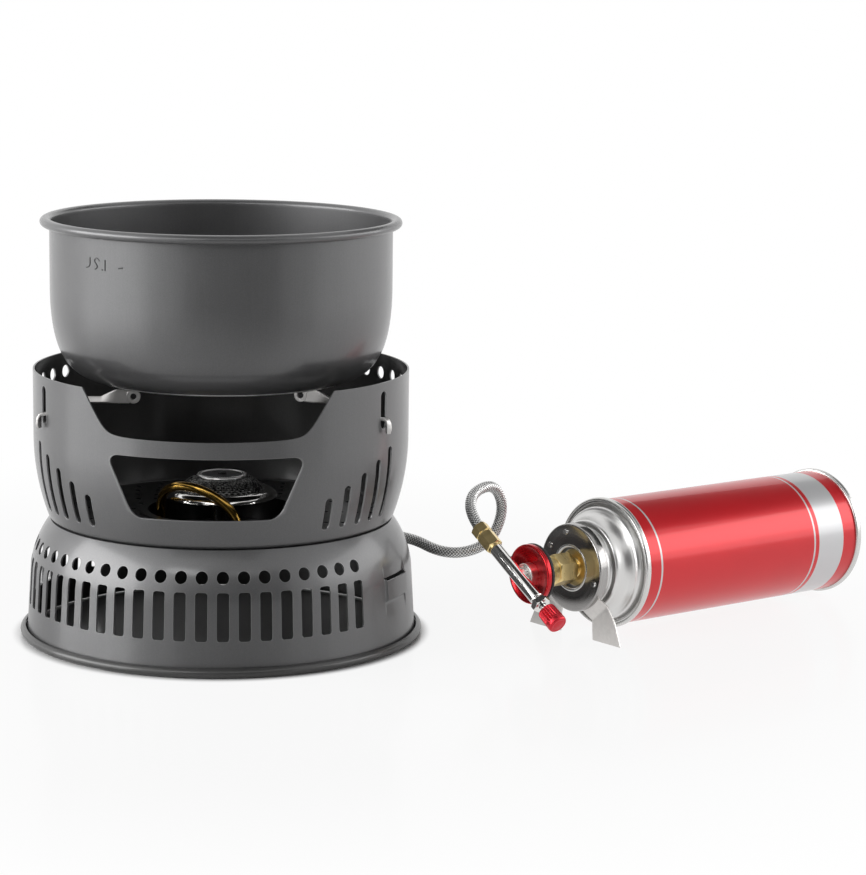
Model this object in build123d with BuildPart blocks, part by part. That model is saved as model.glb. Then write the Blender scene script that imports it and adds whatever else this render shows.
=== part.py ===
from build123d import *
import math
import os

# Portable gas stove: pot, windscreen and base standing on one axis, a burner
# inside, a braided hose, a valve with its adapter, and a gas can lying beside it.
# Millimetres. The origin is on the stove's axis at the floor, +Z up, the
# windscreen's notch faces -Y and the can lies towards +X.

overrun = 2.0
sheet_wall = 1.0
fit_gap = 0.05
rest_gap = 0.3

# Base shell.
base_height = 61.0
base_top_r = 88.6
base_foot_out = 12.3
base_shoulder_out = 10.2
base_shoulder_drop = 24.0
base_arc_r_share = 0.667
base_arc_z_share = 0.52
base_bead_r = 2.2
base_bead_flat = 0.25
vent_count = 30
vent_first_deg = 48.9
vent_pitch_deg = 6.2
vent_hole_d = 6.2
vent_hole_drop = 12.3
vent_slot_w = 6.1
vent_slot_z = 17.5
vent_gap = 3.9
vent_corner_r = 1.4
tab_degs = (69.0, 205.0)
tab_w = 12.5
tab_h = 10.5
tab_drop = 10.0
tab_proud = 1.0
tab_slit = 1.1
hose_port_deg = 116.0
hose_port_w = 30.0
hose_port_z = 30.0
hose_port_drop = 9.0
hose_port_corner_r = 5.0

# Windscreen.
screen_out = 8.15
screen_height = 78.0
screen_straight_h = 35.0
spigot_depth = 4.0
spigot_gap = 0.4
lip_width = 5.4
notch_top_half_w = 62.6
notch_low_half_w = 50.0
notch_depth = 23.1
notch_corner_r = 8.0
window_top_half_w = 49.3
window_low_half_w = 36.0
window_sill_h = 8.3
window_low_rise = 15.5
window_corner_r = 6.0
louvre_first_deg = 39.2
louvre_pitch_deg = 6.8
louvre_count = 5
louvre_w = 4.4
louvre_low_rise = 7.5
louvre_first_top_rise = 24.0
louvre_step = 5.1
support_degs = (-62.0, 62.0, 180.0)
support_slot_w = 5.3
support_slot_drop = 4.6
support_slot_h = 18.9
rim_hole_d = 6.4
rim_hole_drop = 10.2
rim_hole_pitch_deg = 8.1
rim_hole_pairs = 11

# Pot supports: a strip hooked through the windscreen, turned up into a blade.
strip_w = 3.4
strip_t = 1.5
support_pivot_drop = 19.4
hook_out = 5.4
hook_drop = 7.6
hook_bend_r = 2.4
strip_flat_in = 3.0
strip_rise_in = 15.0
strip_rise_h = 8.3
blade_t = 1.6
blade_h = 7.2
blade_in = 44.5
blade_slope_in = 16.0
eye_r = 3.6
eye_hole_d = 3.0
support_skew_degs = (26.0, -9.0, 0.0)

# Pot.
pot_sink = 5.4
pot_height = 83.0
pot_r = 87.7
pot_wall = 1.0
pot_flat_r = 64.0
pot_corner_out = 18.2
pot_corner_h = 13.4
pot_belly_h = 47.0
pot_bead_r = 2.3
pot_bead_out = 2.8

# Perforated tray that carries the burner.
tray_t = 1.2
tray_gap = 1.4
tray_bore_r = 39.6
perf_d = 2.9
perf_ring_shares = (0.137, 0.309, 0.481, 0.652, 0.824)
perf_counts = (20, 24, 28, 32, 36)

# Burner housing and burner.
housing_flange_r = 42.8
housing_t = 1.0
housing_gap = 0.4
housing_depth = 13.2
mix_r = 5.5
mix_bore_r = 4.4
mix_low = 8.0
mix_flange_r = 8.0
mix_flange_t = 1.2
air_hole_d = 4.0
air_hole_rise = 3.4
mix_nut_af = 15.0
mix_nut_h = 4.0
cup_rise = 3.8
cup_rim_r = 29.2
cup_floor_r = 20.0
cup_h = 6.0
cup_t = 0.9
head_low_r = 22.0
head_top_r = 13.0
head_h = 14.6
head_t = 1.0
head_low_share = 0.336
head_mid_shares = (0.71, 0.68)
port_count = 20
port_d = 2.2
port_row_shares = (0.22, 0.48, 0.74)
ring_inner_r = 9.2
ring_h = 2.2
ring_t = 1.2
cap_t = 1.0
cap_screw_r = 2.2
cap_screw_h = 0.9

# Preheat tube, bent over the edge of the flame.
preheat_d = 4.2
preheat_left = (-32.5, -9.5)
preheat_right = (11.6, -32.6)
preheat_top = (-22.0, -25.0)
preheat_top_right = (-6.0, -30.6)
preheat_rise_left = 23.0
preheat_top_rise = 31.5
preheat_right_rise = 13.0
preheat_bends = (12.0, 20.0, 20.0, 20.0)
union_af = 5.8
union_h = 6.0

# Jet block and hose.
block_r = 9.0
block_h = 11.0
jet_r = 2.6
jet_h = 4.0
inlet_deg = 26.5
inlet_r = 4.6
inlet_reach = 19.0
hose_d = 5.4
ferrule_r = 4.4
ferrule_bore_depth = 8.0
ferrule_len = 13.0
hose_bend_share = 0.45

# Can, lying on its rear seam and on the adapter's two feet.
can_x = 200.06
can_y = 9.49
can_yaw_deg = 40.5
can_tilt_deg = 0.8
can_r = 33.0
can_wall = 0.5
can_length = 158.8
seam_r = 34.3
seam_w = 3.4
seam_depth = 1.9
dome_step_r = 31.0
dome_step = 3.6
dome_shoulder_r = 28.6
dome_neck_r = 23.4
dome_neck = 13.2
dome_collar_r = 20.3
dome_collar = 17.4
dome_bulge_r_share = 0.86
dome_bulge_share = 0.52
dome_t = 0.8
stem_r = 2.0
stem_len = 4.2
base_dome = 7.0

# Adapter between the can and the valve, along the can's axis.
plate_front = 24.0
plate_r = 22.4
plate_t = 1.2
skirt_len = 5.5
foot_in = 16.5
foot_out = 34.2
leg_knee_in = 13.6
leg_knee_out = 29.0
leg_knee_drop = 22.0
leg_root_out = 17.4
leg_root_in = 9.2
leg_root_out_drop = 11.5
leg_root_in_drop = 18.0
leg_inner_knee_drop = 27.5
rivet_degs = (104.0, 150.0, -17.0)
rivet_ring_r = 18.8
rivet_r = 1.6
rivet_h = 0.8
hub_r = 8.2
hub_h = 3.6
washer_r = 11.0
washer_h = 0.9
neck_r = 5.0
neck_len = 3.4
hex_af = 14.6
hex_len = 11.4
nipple_r = 6.0
nipple_len = 6.0
groove_count = 3
groove_w = 0.8
groove_depth = 0.7
shank_r = 6.6
shank_len = 5.4
adapter_bore_r = 2.6
gasket_r = 14.2
gasket_t = 1.6
disc_r = 14.8
disc_t = 3.2
disc_dish_r = 11.6
disc_dish = 1.6
disc_floor_r = 7.2
disc_edge = 1.0
plug_r = 4.8
plug_len = 5.3
plug_slot_w = 1.1
plug_slot_depth = 0.9

# Valve across the can's axis.
valve_out = 4.0
valve_drop_deg = 31.7
valve_r = 3.6
valve_up = 20.9
valve_down = 19.3
valve_ferrule_len = 16.5
valve_ferrule_af = 8.6
gland_af = 8.8
gland_len = 3.4
gland_gap = 3.4
spindle_r = 1.6
spindle_in = 6.0
knob_r = 5.1
knob_len = 11.8
knob_grip = 8.0
flute_count = 18
flute_r = 0.55
knob_edge = 0.6
knob_round = 2.2

os.makedirs("parts", exist_ok=True)


def turned(deg, reach, height):
    """Plane facing outwards at an angle from -Y towards +X, at a radius and height."""
    c, s = math.cos(math.radians(deg)), math.sin(math.radians(deg))
    return Plane(origin=(reach * s, -reach * c, height), x_dir=(c, s, 0), z_dir=(s, -c, 0))


def finish(body, label):
    """Names a finished piece and writes it."""
    body.label = label
    export_step(body, f"parts/{label}.step")


# Base shell: drawn wall with a rolled foot bead and an inward lip that the
# windscreen stands on.
base_foot_r = base_top_r + base_foot_out
base_shoulder_r = base_top_r + base_shoulder_out
base_shoulder_z = base_height - base_shoulder_drop
vent_hole_z = base_height - vent_hole_drop
vent_slot_h = vent_hole_z - vent_hole_d / 2 - vent_gap - vent_slot_z
tab_z = base_shoulder_z - tab_drop
hose_port_h = base_height - hose_port_drop - hose_port_z
bead_mid_z = base_bead_r - base_bead_flat
bead_mid_r = base_foot_r - sheet_wall / 2 + base_bead_r
arc_r = base_top_r + base_arc_r_share * (base_shoulder_r - base_top_r)
arc_z = base_shoulder_z + base_arc_z_share * (base_height - base_shoulder_z)
lip_r = base_top_r - lip_width
lean_share = 0.7
with BuildPart() as base_shell:
    with BuildSketch(Plane.XZ):
        with BuildLine():
            Polyline((base_foot_r - sheet_wall, bead_mid_z), (base_foot_r, bead_mid_z), (base_shoulder_r, base_shoulder_z))
            ThreePointArc((base_shoulder_r, base_shoulder_z), (arc_r, arc_z), (base_top_r, base_height))
            Polyline((base_top_r, base_height), (lip_r, base_height), (lip_r, base_height - sheet_wall),
                     (base_top_r - sheet_wall, base_height - sheet_wall))
            ThreePointArc((base_top_r - sheet_wall, base_height - sheet_wall),
                          (arc_r - lean_share * sheet_wall, arc_z - lean_share * sheet_wall),
                          (base_shoulder_r - sheet_wall, base_shoulder_z))
            Line((base_shoulder_r - sheet_wall, base_shoulder_z), (base_foot_r - sheet_wall, bead_mid_z))
        make_face()
        with Locations((bead_mid_r, bead_mid_z)):
            Circle(base_bead_r)
        with Locations((bead_mid_r, 0)):
            Rectangle(4 * base_bead_r, 2 * base_bead_r, align=(Align.CENTER, Align.MAX), mode=Mode.SUBTRACT)
    revolve(axis=Axis.Z)
    tab_reach = base_shoulder_r - sheet_wall / 2
    with BuildSketch(*[turned(d, tab_reach, tab_z + tab_h / 2) for d in tab_degs]):
        Rectangle(tab_w, tab_h)
    extrude(amount=sheet_wall + tab_proud)
    vent_degs = [vent_first_deg - vent_pitch_deg * k for k in range(vent_count)]
    cut_r = base_foot_r + overrun
    cut_depth = base_foot_r - base_top_r + 2 * overrun
    with BuildSketch(*[turned(d, cut_r, vent_hole_z) for d in vent_degs]):
        Circle(vent_hole_d / 2)
    extrude(amount=-cut_depth, mode=Mode.SUBTRACT)
    with BuildSketch(*[turned(d, cut_r, vent_slot_z + vent_slot_h / 2) for d in vent_degs]):
        RectangleRounded(vent_slot_w, vent_slot_h, vent_corner_r)
    extrude(amount=-cut_depth, mode=Mode.SUBTRACT)
    with BuildSketch(*[turned(d, cut_r, tab_z + tab_h + tab_slit / 2) for d in tab_degs]):
        Rectangle(tab_w, tab_slit)
    extrude(amount=-cut_depth, mode=Mode.SUBTRACT)
    with BuildSketch(turned(hose_port_deg, cut_r, hose_port_z + hose_port_h / 2)):
        RectangleRounded(hose_port_w, hose_port_h, hose_port_corner_r)
    extrude(amount=-cut_depth, mode=Mode.SUBTRACT)
finish(base_shell.part, "base_shell")

# Windscreen: bowl-sided wall on a flat lip, with a spigot inside the base's lip.
# Cut into it are the rim notch, the window, the louvres, the slots of the pot
# supports and the row of rim holes.
screen_r = base_top_r + screen_out
rim_z = base_height + screen_height
notch_low_z = rim_z - notch_depth
window_top_z = notch_low_z - window_sill_h
window_low_z = base_height + window_low_rise
louvre_low_z = base_height + louvre_low_rise
support_slot_low_z = rim_z - support_slot_drop - support_slot_h
straight_z = rim_z - screen_straight_h
spigot_r = lip_r - spigot_gap
lip_top_z = base_height + sheet_wall
with BuildPart() as windscreen_shell:
    with BuildSketch(Plane.XZ):
        with BuildLine():
            TangentArc((screen_r, straight_z), (base_top_r, base_height), tangent=(0, -1))
            Polyline((screen_r, straight_z), (screen_r, rim_z), (screen_r - sheet_wall, rim_z), (screen_r - sheet_wall, straight_z))
            TangentArc((screen_r - sheet_wall, straight_z), (base_top_r - lean_share * sheet_wall, lip_top_z), tangent=(0, -1))
            Polyline((base_top_r - lean_share * sheet_wall, lip_top_z), (spigot_r - sheet_wall, lip_top_z),
                     (spigot_r - sheet_wall, base_height - spigot_depth), (spigot_r, base_height - spigot_depth),
                     (spigot_r, base_height), (base_top_r, base_height))
        make_face()
    revolve(axis=Axis.Z)
    with BuildSketch(Plane.XZ.offset(screen_r + overrun)) as notch_cut:
        notch_over = overrun * (notch_top_half_w - notch_low_half_w) / notch_depth
        with BuildLine():
            Polyline((-notch_low_half_w, notch_low_z), (notch_low_half_w, notch_low_z),
                     (notch_top_half_w + notch_over, rim_z + overrun),
                     (-notch_top_half_w - notch_over, rim_z + overrun), close=True)
        make_face()
        fillet(notch_cut.vertices().group_by(Axis.Z)[0], radius=notch_corner_r)
    extrude(amount=-screen_r, mode=Mode.SUBTRACT)
    with BuildSketch(Plane.XZ.offset(screen_r + overrun)) as window_cut:
        with BuildLine():
            Polyline((-window_low_half_w, window_low_z), (window_low_half_w, window_low_z),
                     (window_top_half_w, window_top_z), (-window_top_half_w, window_top_z), close=True)
        make_face()
        fillet(window_cut.vertices(), radius=window_corner_r)
    extrude(amount=-screen_r, mode=Mode.SUBTRACT)
    screen_cut_r = screen_r + overrun
    screen_cut = screen_r - base_top_r + 2 * overrun
    for k in range(louvre_count):
        louvre_h = louvre_first_top_rise + k * louvre_step - louvre_low_rise
        louvre_deg = louvre_first_deg + k * louvre_pitch_deg
        with BuildSketch(*[turned(d, screen_cut_r, louvre_low_z + louvre_h / 2) for d in (-louvre_deg, louvre_deg)]):
            SlotOverall(louvre_h, louvre_w, rotation=90)
        extrude(amount=-screen_cut, mode=Mode.SUBTRACT)
    with BuildSketch(*[turned(d, screen_cut_r, support_slot_low_z + support_slot_h / 2) for d in support_degs]):
        SlotOverall(support_slot_h, support_slot_w, rotation=90)
    extrude(amount=-screen_cut, mode=Mode.SUBTRACT)
    rim_degs = [180 + side * rim_hole_pitch_deg * (k + 1) for side in (-1, 1) for k in range(rim_hole_pairs)]
    with BuildSketch(*[turned(d, screen_cut_r, rim_z - rim_hole_drop) for d in rim_degs]):
        Circle(rim_hole_d / 2)
    extrude(amount=-screen_cut, mode=Mode.SUBTRACT)
finish(windscreen_shell.part, "windscreen_shell")

# Pot supports: the strip lies flat through its slot and hooks down outside; the
# blade inside stands on edge, with its top just under the pot and an eye at its end.
pivot_r = screen_r - sheet_wall / 2
support_pivot_z = rim_z - support_pivot_drop
pot_bottom_z = rim_z - pot_sink
blade_top = pot_bottom_z - rest_gap - support_pivot_z
blade_low = blade_top - blade_h
support_names = ("pot_support_left", "pot_support_right", "pot_support_rear")
for support_name, deg, skew in zip(support_names, support_degs, support_skew_degs):
    slot_plane = turned(deg, pivot_r, support_pivot_z)
    inward = slot_plane.z_dir * -1
    arm_dir = inward.rotate(Axis.Z, -skew)
    arm_plane = Plane(origin=slot_plane.origin, x_dir=arm_dir, z_dir=arm_dir.cross(Vector(0, 0, 1)))
    with BuildPart() as pot_support:
        with BuildSketch(arm_plane):
            with BuildLine():
                FilletPolyline((-hook_out, -hook_drop), (-hook_out, strip_t), (strip_flat_in, strip_t), radius=hook_bend_r)
                Polyline((strip_flat_in, strip_t), (strip_rise_in, strip_t + strip_rise_h), (strip_rise_in, strip_rise_h),
                         (strip_flat_in, 0))
                FilletPolyline((strip_flat_in, 0), (strip_t - hook_out, 0), (strip_t - hook_out, -hook_drop),
                               radius=hook_bend_r - strip_t)
                Line((strip_t - hook_out, -hook_drop), (-hook_out, -hook_drop))
            make_face()
        extrude(amount=strip_w / 2, both=True)
        with BuildSketch(arm_plane):
            with BuildLine():
                Polyline((strip_rise_in - blade_slope_in / 3, blade_low), (blade_in, blade_low), (blade_in, blade_low + 2 * eye_r),
                         (blade_in - eye_r, blade_top), (strip_rise_in + blade_slope_in, blade_top), close=True)
            make_face()
            with Locations((blade_in, blade_low + eye_r)):
                Circle(eye_r)
            with Locations((blade_in, blade_low + eye_r)):
                Circle(eye_hole_d / 2, mode=Mode.SUBTRACT)
        extrude(amount=blade_t / 2, both=True)
    finish(pot_support.part, support_name)

# Pot: flat bottom, rounded corner that runs out into a slight belly, rolled rim.
corner_r = pot_flat_r + pot_corner_out
corner_z = pot_bottom_z + pot_corner_h
belly_z = pot_bottom_z + pot_belly_h
bead_z = pot_bottom_z + pot_height - pot_bead_r
with BuildPart() as pot_shell:
    with BuildSketch(Plane.XZ):
        with BuildLine():
            Line((0, pot_bottom_z), (pot_flat_r, pot_bottom_z))
            TangentArc((pot_flat_r, pot_bottom_z), (corner_r, corner_z), tangent=(1, 0))
            TangentArc((pot_r, belly_z), (corner_r, corner_z), tangent=(0, -1))
            Polyline((pot_r, belly_z), (pot_r, bead_z), (pot_r - pot_wall, bead_z), (pot_r - pot_wall, belly_z))
            TangentArc((pot_r - pot_wall, belly_z), (corner_r - pot_wall, corner_z), tangent=(0, -1))
            TangentArc((pot_flat_r, pot_bottom_z + pot_wall), (corner_r - pot_wall, corner_z), tangent=(1, 0))
            Polyline((pot_flat_r, pot_bottom_z + pot_wall), (0, pot_bottom_z + pot_wall), (0, pot_bottom_z))
        make_face()
        with Locations((pot_r - pot_wall / 2 + pot_bead_out, bead_z)):
            Ellipse(pot_bead_out, pot_bead_r)
    revolve(axis=Axis.Z)
finish(pot_shell.part, "pot_shell")

# Perforated tray: loose disc on the windscreen's lip.
tray_r = base_top_r - sheet_wall - tray_gap
tray_top_z = lip_top_z + tray_t
with BuildPart() as perforated_tray:
    with BuildSketch(Plane.XY.offset(lip_top_z)):
        Circle(tray_r)
        Circle(tray_bore_r, mode=Mode.SUBTRACT)
        for share, count in zip(perf_ring_shares, perf_counts):
            with PolarLocations(tray_bore_r + share * (tray_r - tray_bore_r), count):
                Circle(perf_d / 2, mode=Mode.SUBTRACT)
    extrude(amount=tray_t)
finish(perforated_tray.part, "perforated_tray")

# Burner housing: flanged cup hanging in the tray's bore.
housing_r = tray_bore_r - housing_gap
housing_top_z = tray_top_z + housing_t
floor_z = tray_top_z - housing_depth
with BuildPart() as burner_housing:
    with BuildSketch(Plane.XZ):
        with BuildLine():
            Polyline((mix_r + fit_gap, floor_z), (housing_r, floor_z), (housing_r, tray_top_z), (housing_flange_r, tray_top_z),
                     (housing_flange_r, housing_top_z), (housing_r - housing_t, housing_top_z),
                     (housing_r - housing_t, floor_z + housing_t), (mix_r + fit_gap, floor_z + housing_t), close=True)
        make_face()
    revolve(axis=Axis.Z)
finish(burner_housing.part, "burner_housing")

# Mixing tube: flanged under the housing's floor and under the burner cup, with
# air holes at its foot.
mix_low_z = floor_z - mix_low
cup_z = tray_top_z + cup_rise
with BuildPart() as mixing_tube:
    with BuildSketch(Plane.XZ):
        with BuildLine():
            Polyline((mix_bore_r, mix_low_z), (mix_r, mix_low_z), (mix_r, floor_z - mix_flange_t), (mix_flange_r, floor_z - mix_flange_t),
                     (mix_flange_r, floor_z), (mix_r, floor_z), (mix_r, cup_z - mix_flange_t), (mix_flange_r, cup_z - mix_flange_t),
                     (mix_flange_r, cup_z), (mix_r, cup_z), (mix_r, cup_z + cup_t), (mix_bore_r, cup_z + cup_t), close=True)
        make_face()
    revolve(axis=Axis.Z)
    with BuildSketch(Plane.XZ.offset(mix_r + overrun)):
        with Locations((0, mix_low_z + air_hole_rise)):
            Circle(air_hole_d / 2)
    extrude(amount=-2 * (mix_r + overrun), mode=Mode.SUBTRACT)
    with BuildSketch(Plane.YZ.offset(mix_r + overrun)):
        with Locations((0, mix_low_z + air_hole_rise)):
            Circle(air_hole_d / 2)
    extrude(amount=-2 * (mix_r + overrun), mode=Mode.SUBTRACT)
finish(mixing_tube.part, "mixing_tube")

# Nut that clamps the mixing tube on the housing's floor.
with BuildPart() as mixing_nut:
    with BuildSketch(Plane.XY.offset(floor_z + housing_t)):
        RegularPolygon(mix_nut_af / 2, 6, major_radius=False)
        Circle(mix_r + fit_gap, mode=Mode.SUBTRACT)
    extrude(amount=mix_nut_h)
finish(mixing_nut.part, "mixing_nut")

# Burner cup: bright saucer on the mixing tube's flange.
with BuildPart() as burner_cup:
    with BuildSketch(Plane.XZ):
        with BuildLine():
            Polyline((mix_r + fit_gap, cup_z), (cup_floor_r, cup_z), (cup_rim_r, cup_z + cup_h / 2), (cup_rim_r, cup_z + cup_h),
                     (cup_rim_r - cup_t, cup_z + cup_h), (cup_rim_r - cup_t, cup_z + cup_h / 2 + cup_t),
                     (cup_floor_r, cup_z + cup_t), (mix_r + fit_gap, cup_z + cup_t), close=True)
        make_face()
    revolve(axis=Axis.Z)
finish(burner_cup.part, "burner_cup")

# Burner head: dome with rows of flame ports, standing on the cup's floor.
head_z = cup_z + cup_t
head_top_z = head_z + head_h
head_seat_r = cup_floor_r
head_low_z = head_z + head_low_share * head_h
head_mid_r = head_top_r + head_mid_shares[0] * (head_low_r - head_top_r)
head_mid_z = head_low_z + head_mid_shares[1] * (head_top_z - head_low_z)
with BuildPart() as burner_head:
    with BuildSketch(Plane.XZ):
        with BuildLine():
            Polyline((head_low_r - head_t, head_low_z), (head_seat_r - head_t, head_z), (head_seat_r, head_z), (head_low_r, head_low_z))
            ThreePointArc((head_low_r, head_low_z), (head_mid_r, head_mid_z), (head_top_r, head_top_z))
            Line((head_top_r, head_top_z), (head_top_r - head_t, head_top_z))
            ThreePointArc((head_top_r - head_t, head_top_z), (head_mid_r - head_t, head_mid_z - head_t / 2),
                          (head_low_r - head_t, head_low_z))
        make_face()
    revolve(axis=Axis.Z)
    for row, share in enumerate(port_row_shares):
        port_z = head_low_z + share * (head_top_z - head_low_z)
        row_turn = (row % 2) * 180 / port_count
        with BuildSketch(*[turned(row_turn + 360 * k / port_count, head_low_r + overrun, port_z) for k in range(port_count)]):
            Circle(port_d / 2)
        extrude(amount=-(head_low_r - head_top_r + 2 * overrun), mode=Mode.SUBTRACT)
finish(burner_head.part, "burner_head")

# Flame ring on the head's top edge, and the cap plate with its screw inside it.
with BuildPart() as flame_ring:
    with BuildSketch(Plane.XZ):
        with BuildLine():
            Polyline((ring_inner_r, head_top_z), (head_top_r, head_top_z), (head_top_r, head_top_z + ring_t),
                     (head_top_r - ring_t, head_top_z + ring_h), (ring_inner_r + ring_t, head_top_z + ring_h),
                     (ring_inner_r, head_top_z + ring_t), close=True)
        make_face()
    revolve(axis=Axis.Z)
finish(flame_ring.part, "flame_ring")

with BuildPart() as burner_cap:
    with BuildSketch(Plane.XY.offset(head_top_z - cap_t)):
        Circle(head_top_r - head_t - fit_gap)
    extrude(amount=cap_t)
    with BuildSketch(Plane.XY.offset(head_top_z)):
        Circle(cap_screw_r)
    extrude(amount=cap_screw_h)
finish(burner_cap.part, "burner_cap")

# Preheat tube: brass, up one side, over the flame's edge and down the other, each
# foot in a union nut on the housing's floor.
foot_z = floor_z + housing_t
with BuildPart() as preheat_tube:
    with BuildLine() as preheat_path:
        FilletPolyline((*preheat_left, foot_z), (*preheat_left, foot_z + preheat_rise_left), (*preheat_top, foot_z + preheat_top_rise),
                       (*preheat_top_right, foot_z + preheat_top_rise), (*preheat_right, foot_z + preheat_right_rise),
                       (*preheat_right, foot_z), radius=list(preheat_bends))
    with BuildSketch(Plane.XY.offset(foot_z)):
        with Locations(preheat_left):
            Circle(preheat_d / 2)
    sweep(path=preheat_path.line)
finish(preheat_tube.part, "preheat_tube")

with BuildPart() as tube_unions:
    with BuildSketch(Plane.XY.offset(foot_z)):
        with Locations(preheat_left, preheat_right):
            RegularPolygon(union_af / 2, 6, major_radius=False)
            Circle(preheat_d / 2 + fit_gap, mode=Mode.SUBTRACT)
    extrude(amount=union_h)
finish(tube_unions.part, "tube_unions")

# Jet block under the mixing tube, with the jet inside the tube's foot and the
# hose inlet on its side.
block_z = mix_low_z - block_h
inlet_z = block_z + block_h / 2
inlet_dir = Vector(math.cos(math.radians(inlet_deg)), math.sin(math.radians(inlet_deg)), 0)
inlet_plane = Plane(origin=(0, 0, inlet_z), x_dir=(0, 0, 1), z_dir=inlet_dir)
with BuildPart() as jet_block:
    with BuildSketch(Plane.XY.offset(block_z)):
        Circle(block_r)
    extrude(amount=block_h)
    with BuildSketch(inlet_plane):
        Circle(inlet_r)
    extrude(amount=inlet_reach)
    with BuildSketch(Plane.XY.offset(mix_low_z)):
        Circle(jet_r)
    extrude(amount=jet_h)
finish(jet_block.part, "jet_block")

with BuildPart() as burner_ferrule:
    with BuildSketch(inlet_plane.offset(inlet_reach)):
        Circle(ferrule_r)
    extrude(amount=ferrule_len)
    with BuildSketch(inlet_plane.offset(inlet_reach + ferrule_len - ferrule_bore_depth)):
        Circle(hose_d / 2 + fit_gap)
    extrude(amount=ferrule_bore_depth, mode=Mode.SUBTRACT)
finish(burner_ferrule.part, "burner_ferrule")

# Frame of the can and the adapter: origin at the can's front seam, z along the
# axis towards the valve, x to the right, y up.
yaw, tilt = math.radians(can_yaw_deg), math.radians(can_tilt_deg)
can_z = seam_r * math.cos(tilt) + (can_length + seam_w / 2) * math.sin(tilt)
front_dir = Vector(-math.cos(yaw) * math.cos(tilt), -math.sin(yaw) * math.cos(tilt), math.sin(tilt))
right_dir = Vector(math.sin(yaw), -math.cos(yaw), 0)
can_plane = Plane(origin=(can_x, can_y, can_z), x_dir=right_dir, z_dir=front_dir)
can_axis = Axis(can_plane.origin, can_plane.z_dir)
can_side = Plane(origin=can_plane.origin, x_dir=right_dir, z_dir=right_dir.cross(front_dir))

# Can: lacquered body between two rolled seams, stepped dome with the stem in
# front, inward dome behind. In the profiles x is the radius and y runs forwards.
body_front = -seam_w / 2
body_rear = seam_w / 2 - can_length
with BuildPart() as can_body:
    with BuildSketch(can_plane.offset(body_rear)):
        Circle(can_r)
        Circle(can_r - can_wall, mode=Mode.SUBTRACT)
    extrude(amount=body_front - body_rear)
finish(can_body.part, "can_body")

for seam_name, seam_at in (("can_seam_front", 0), ("can_seam_rear", -can_length)):
    with BuildPart() as can_seam:
        with BuildSketch(can_side):
            with Locations((seam_r - seam_depth / 2, seam_at)):
                RectangleRounded(seam_depth, seam_w, seam_depth / 3)
        revolve(axis=can_axis)
    finish(can_seam.part, seam_name)

dome_r = seam_r - seam_depth
dome_back = -seam_w / 2
with BuildPart() as can_dome:
    with BuildSketch(can_side):
        with BuildLine():
            bulge_r = dome_neck_r + dome_bulge_r_share * (dome_shoulder_r - dome_neck_r)
            bulge_at = dome_step + dome_bulge_share * (dome_neck - dome_step)
            Polyline((dome_r, dome_back), (dome_r, 0), (dome_step_r, 0), (dome_step_r, dome_step), (dome_shoulder_r, dome_step))
            ThreePointArc((dome_shoulder_r, dome_step), (bulge_r, bulge_at), (dome_neck_r, dome_neck))
            Polyline((dome_neck_r, dome_neck), (dome_collar_r, dome_neck), (dome_collar_r, dome_collar), (0, dome_collar),
                     (0, dome_collar - dome_t), (dome_collar_r - dome_t, dome_collar - dome_t),
                     (dome_collar_r - dome_t, dome_neck - dome_t), (dome_neck_r - dome_t, dome_neck - dome_t))
            ThreePointArc((dome_neck_r - dome_t, dome_neck - dome_t), (bulge_r - dome_t, bulge_at - dome_t),
                          (dome_shoulder_r - dome_t, dome_step - dome_t))
            Polyline((dome_shoulder_r - dome_t, dome_step - dome_t), (dome_step_r - dome_t, dome_step - dome_t),
                     (dome_step_r - dome_t, dome_back), (dome_r, dome_back))
        make_face()
    revolve(axis=can_axis)
finish(can_dome.part, "can_dome")

with BuildPart() as can_stem:
    with BuildSketch(can_plane.offset(dome_collar)):
        Circle(stem_r)
    extrude(amount=stem_len)
finish(can_stem.part, "can_stem")

with BuildPart() as can_bottom:
    with BuildSketch(can_side):
        with BuildLine():
            bottom_top = base_dome - can_length
            Polyline((dome_r - dome_t, -can_length), (dome_r, -can_length), (dome_r, body_rear))
            TangentArc((0, bottom_top), (dome_r, body_rear), tangent=(1, 0))
            Line((0, bottom_top), (0, bottom_top - dome_t))
            TangentArc((0, bottom_top - dome_t), (dome_r - dome_t, -can_length), tangent=(1, 0))
        make_face()
    revolve(axis=can_axis)
finish(can_bottom.part, "can_bottom")

# Stand plate: shallow stainless cup over the can's collar, its skirt drawn out
# into two flat feet that reach the floor.
skirt_back = plate_front - skirt_len
foot_y = -(can_z + skirt_back * math.sin(tilt)) / math.cos(tilt)
with BuildPart() as stand_plate:
    with BuildSketch(can_plane.offset(skirt_back)):
        Circle(plate_r)
        with BuildLine():
            Polyline((leg_root_out, -leg_root_out_drop), (leg_knee_out, -leg_knee_drop), (foot_out, foot_y), (foot_in, foot_y),
                     (leg_knee_in, -leg_inner_knee_drop), (leg_root_in, -leg_root_in_drop), close=True)
        make_face()
        mirror(about=Plane.YZ)
        Circle(plate_r - plate_t, mode=Mode.SUBTRACT)
    extrude(amount=plate_t)
    with BuildSketch(can_plane.offset(skirt_back)):
        Circle(plate_r)
        Circle(plate_r - plate_t, mode=Mode.SUBTRACT)
    extrude(amount=skirt_len)
    with BuildSketch(can_plane.offset(plate_front - plate_t)):
        Circle(plate_r)
        Circle(shank_r + fit_gap, mode=Mode.SUBTRACT)
    extrude(amount=plate_t)
finish(stand_plate.part, "stand_plate")

with BuildPart() as plate_rivets:
    for rivet_deg in rivet_degs:
        rivet_x = rivet_ring_r * math.cos(math.radians(rivet_deg))
        rivet_y = rivet_ring_r * math.sin(math.radians(rivet_deg))
        with BuildSketch(can_plane.offset(plate_front)):
            with Locations((rivet_x, rivet_y)):
                Circle(rivet_r)
        extrude(amount=rivet_h, taper=20)
finish(plate_rivets.part, "plate_rivets")

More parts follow.
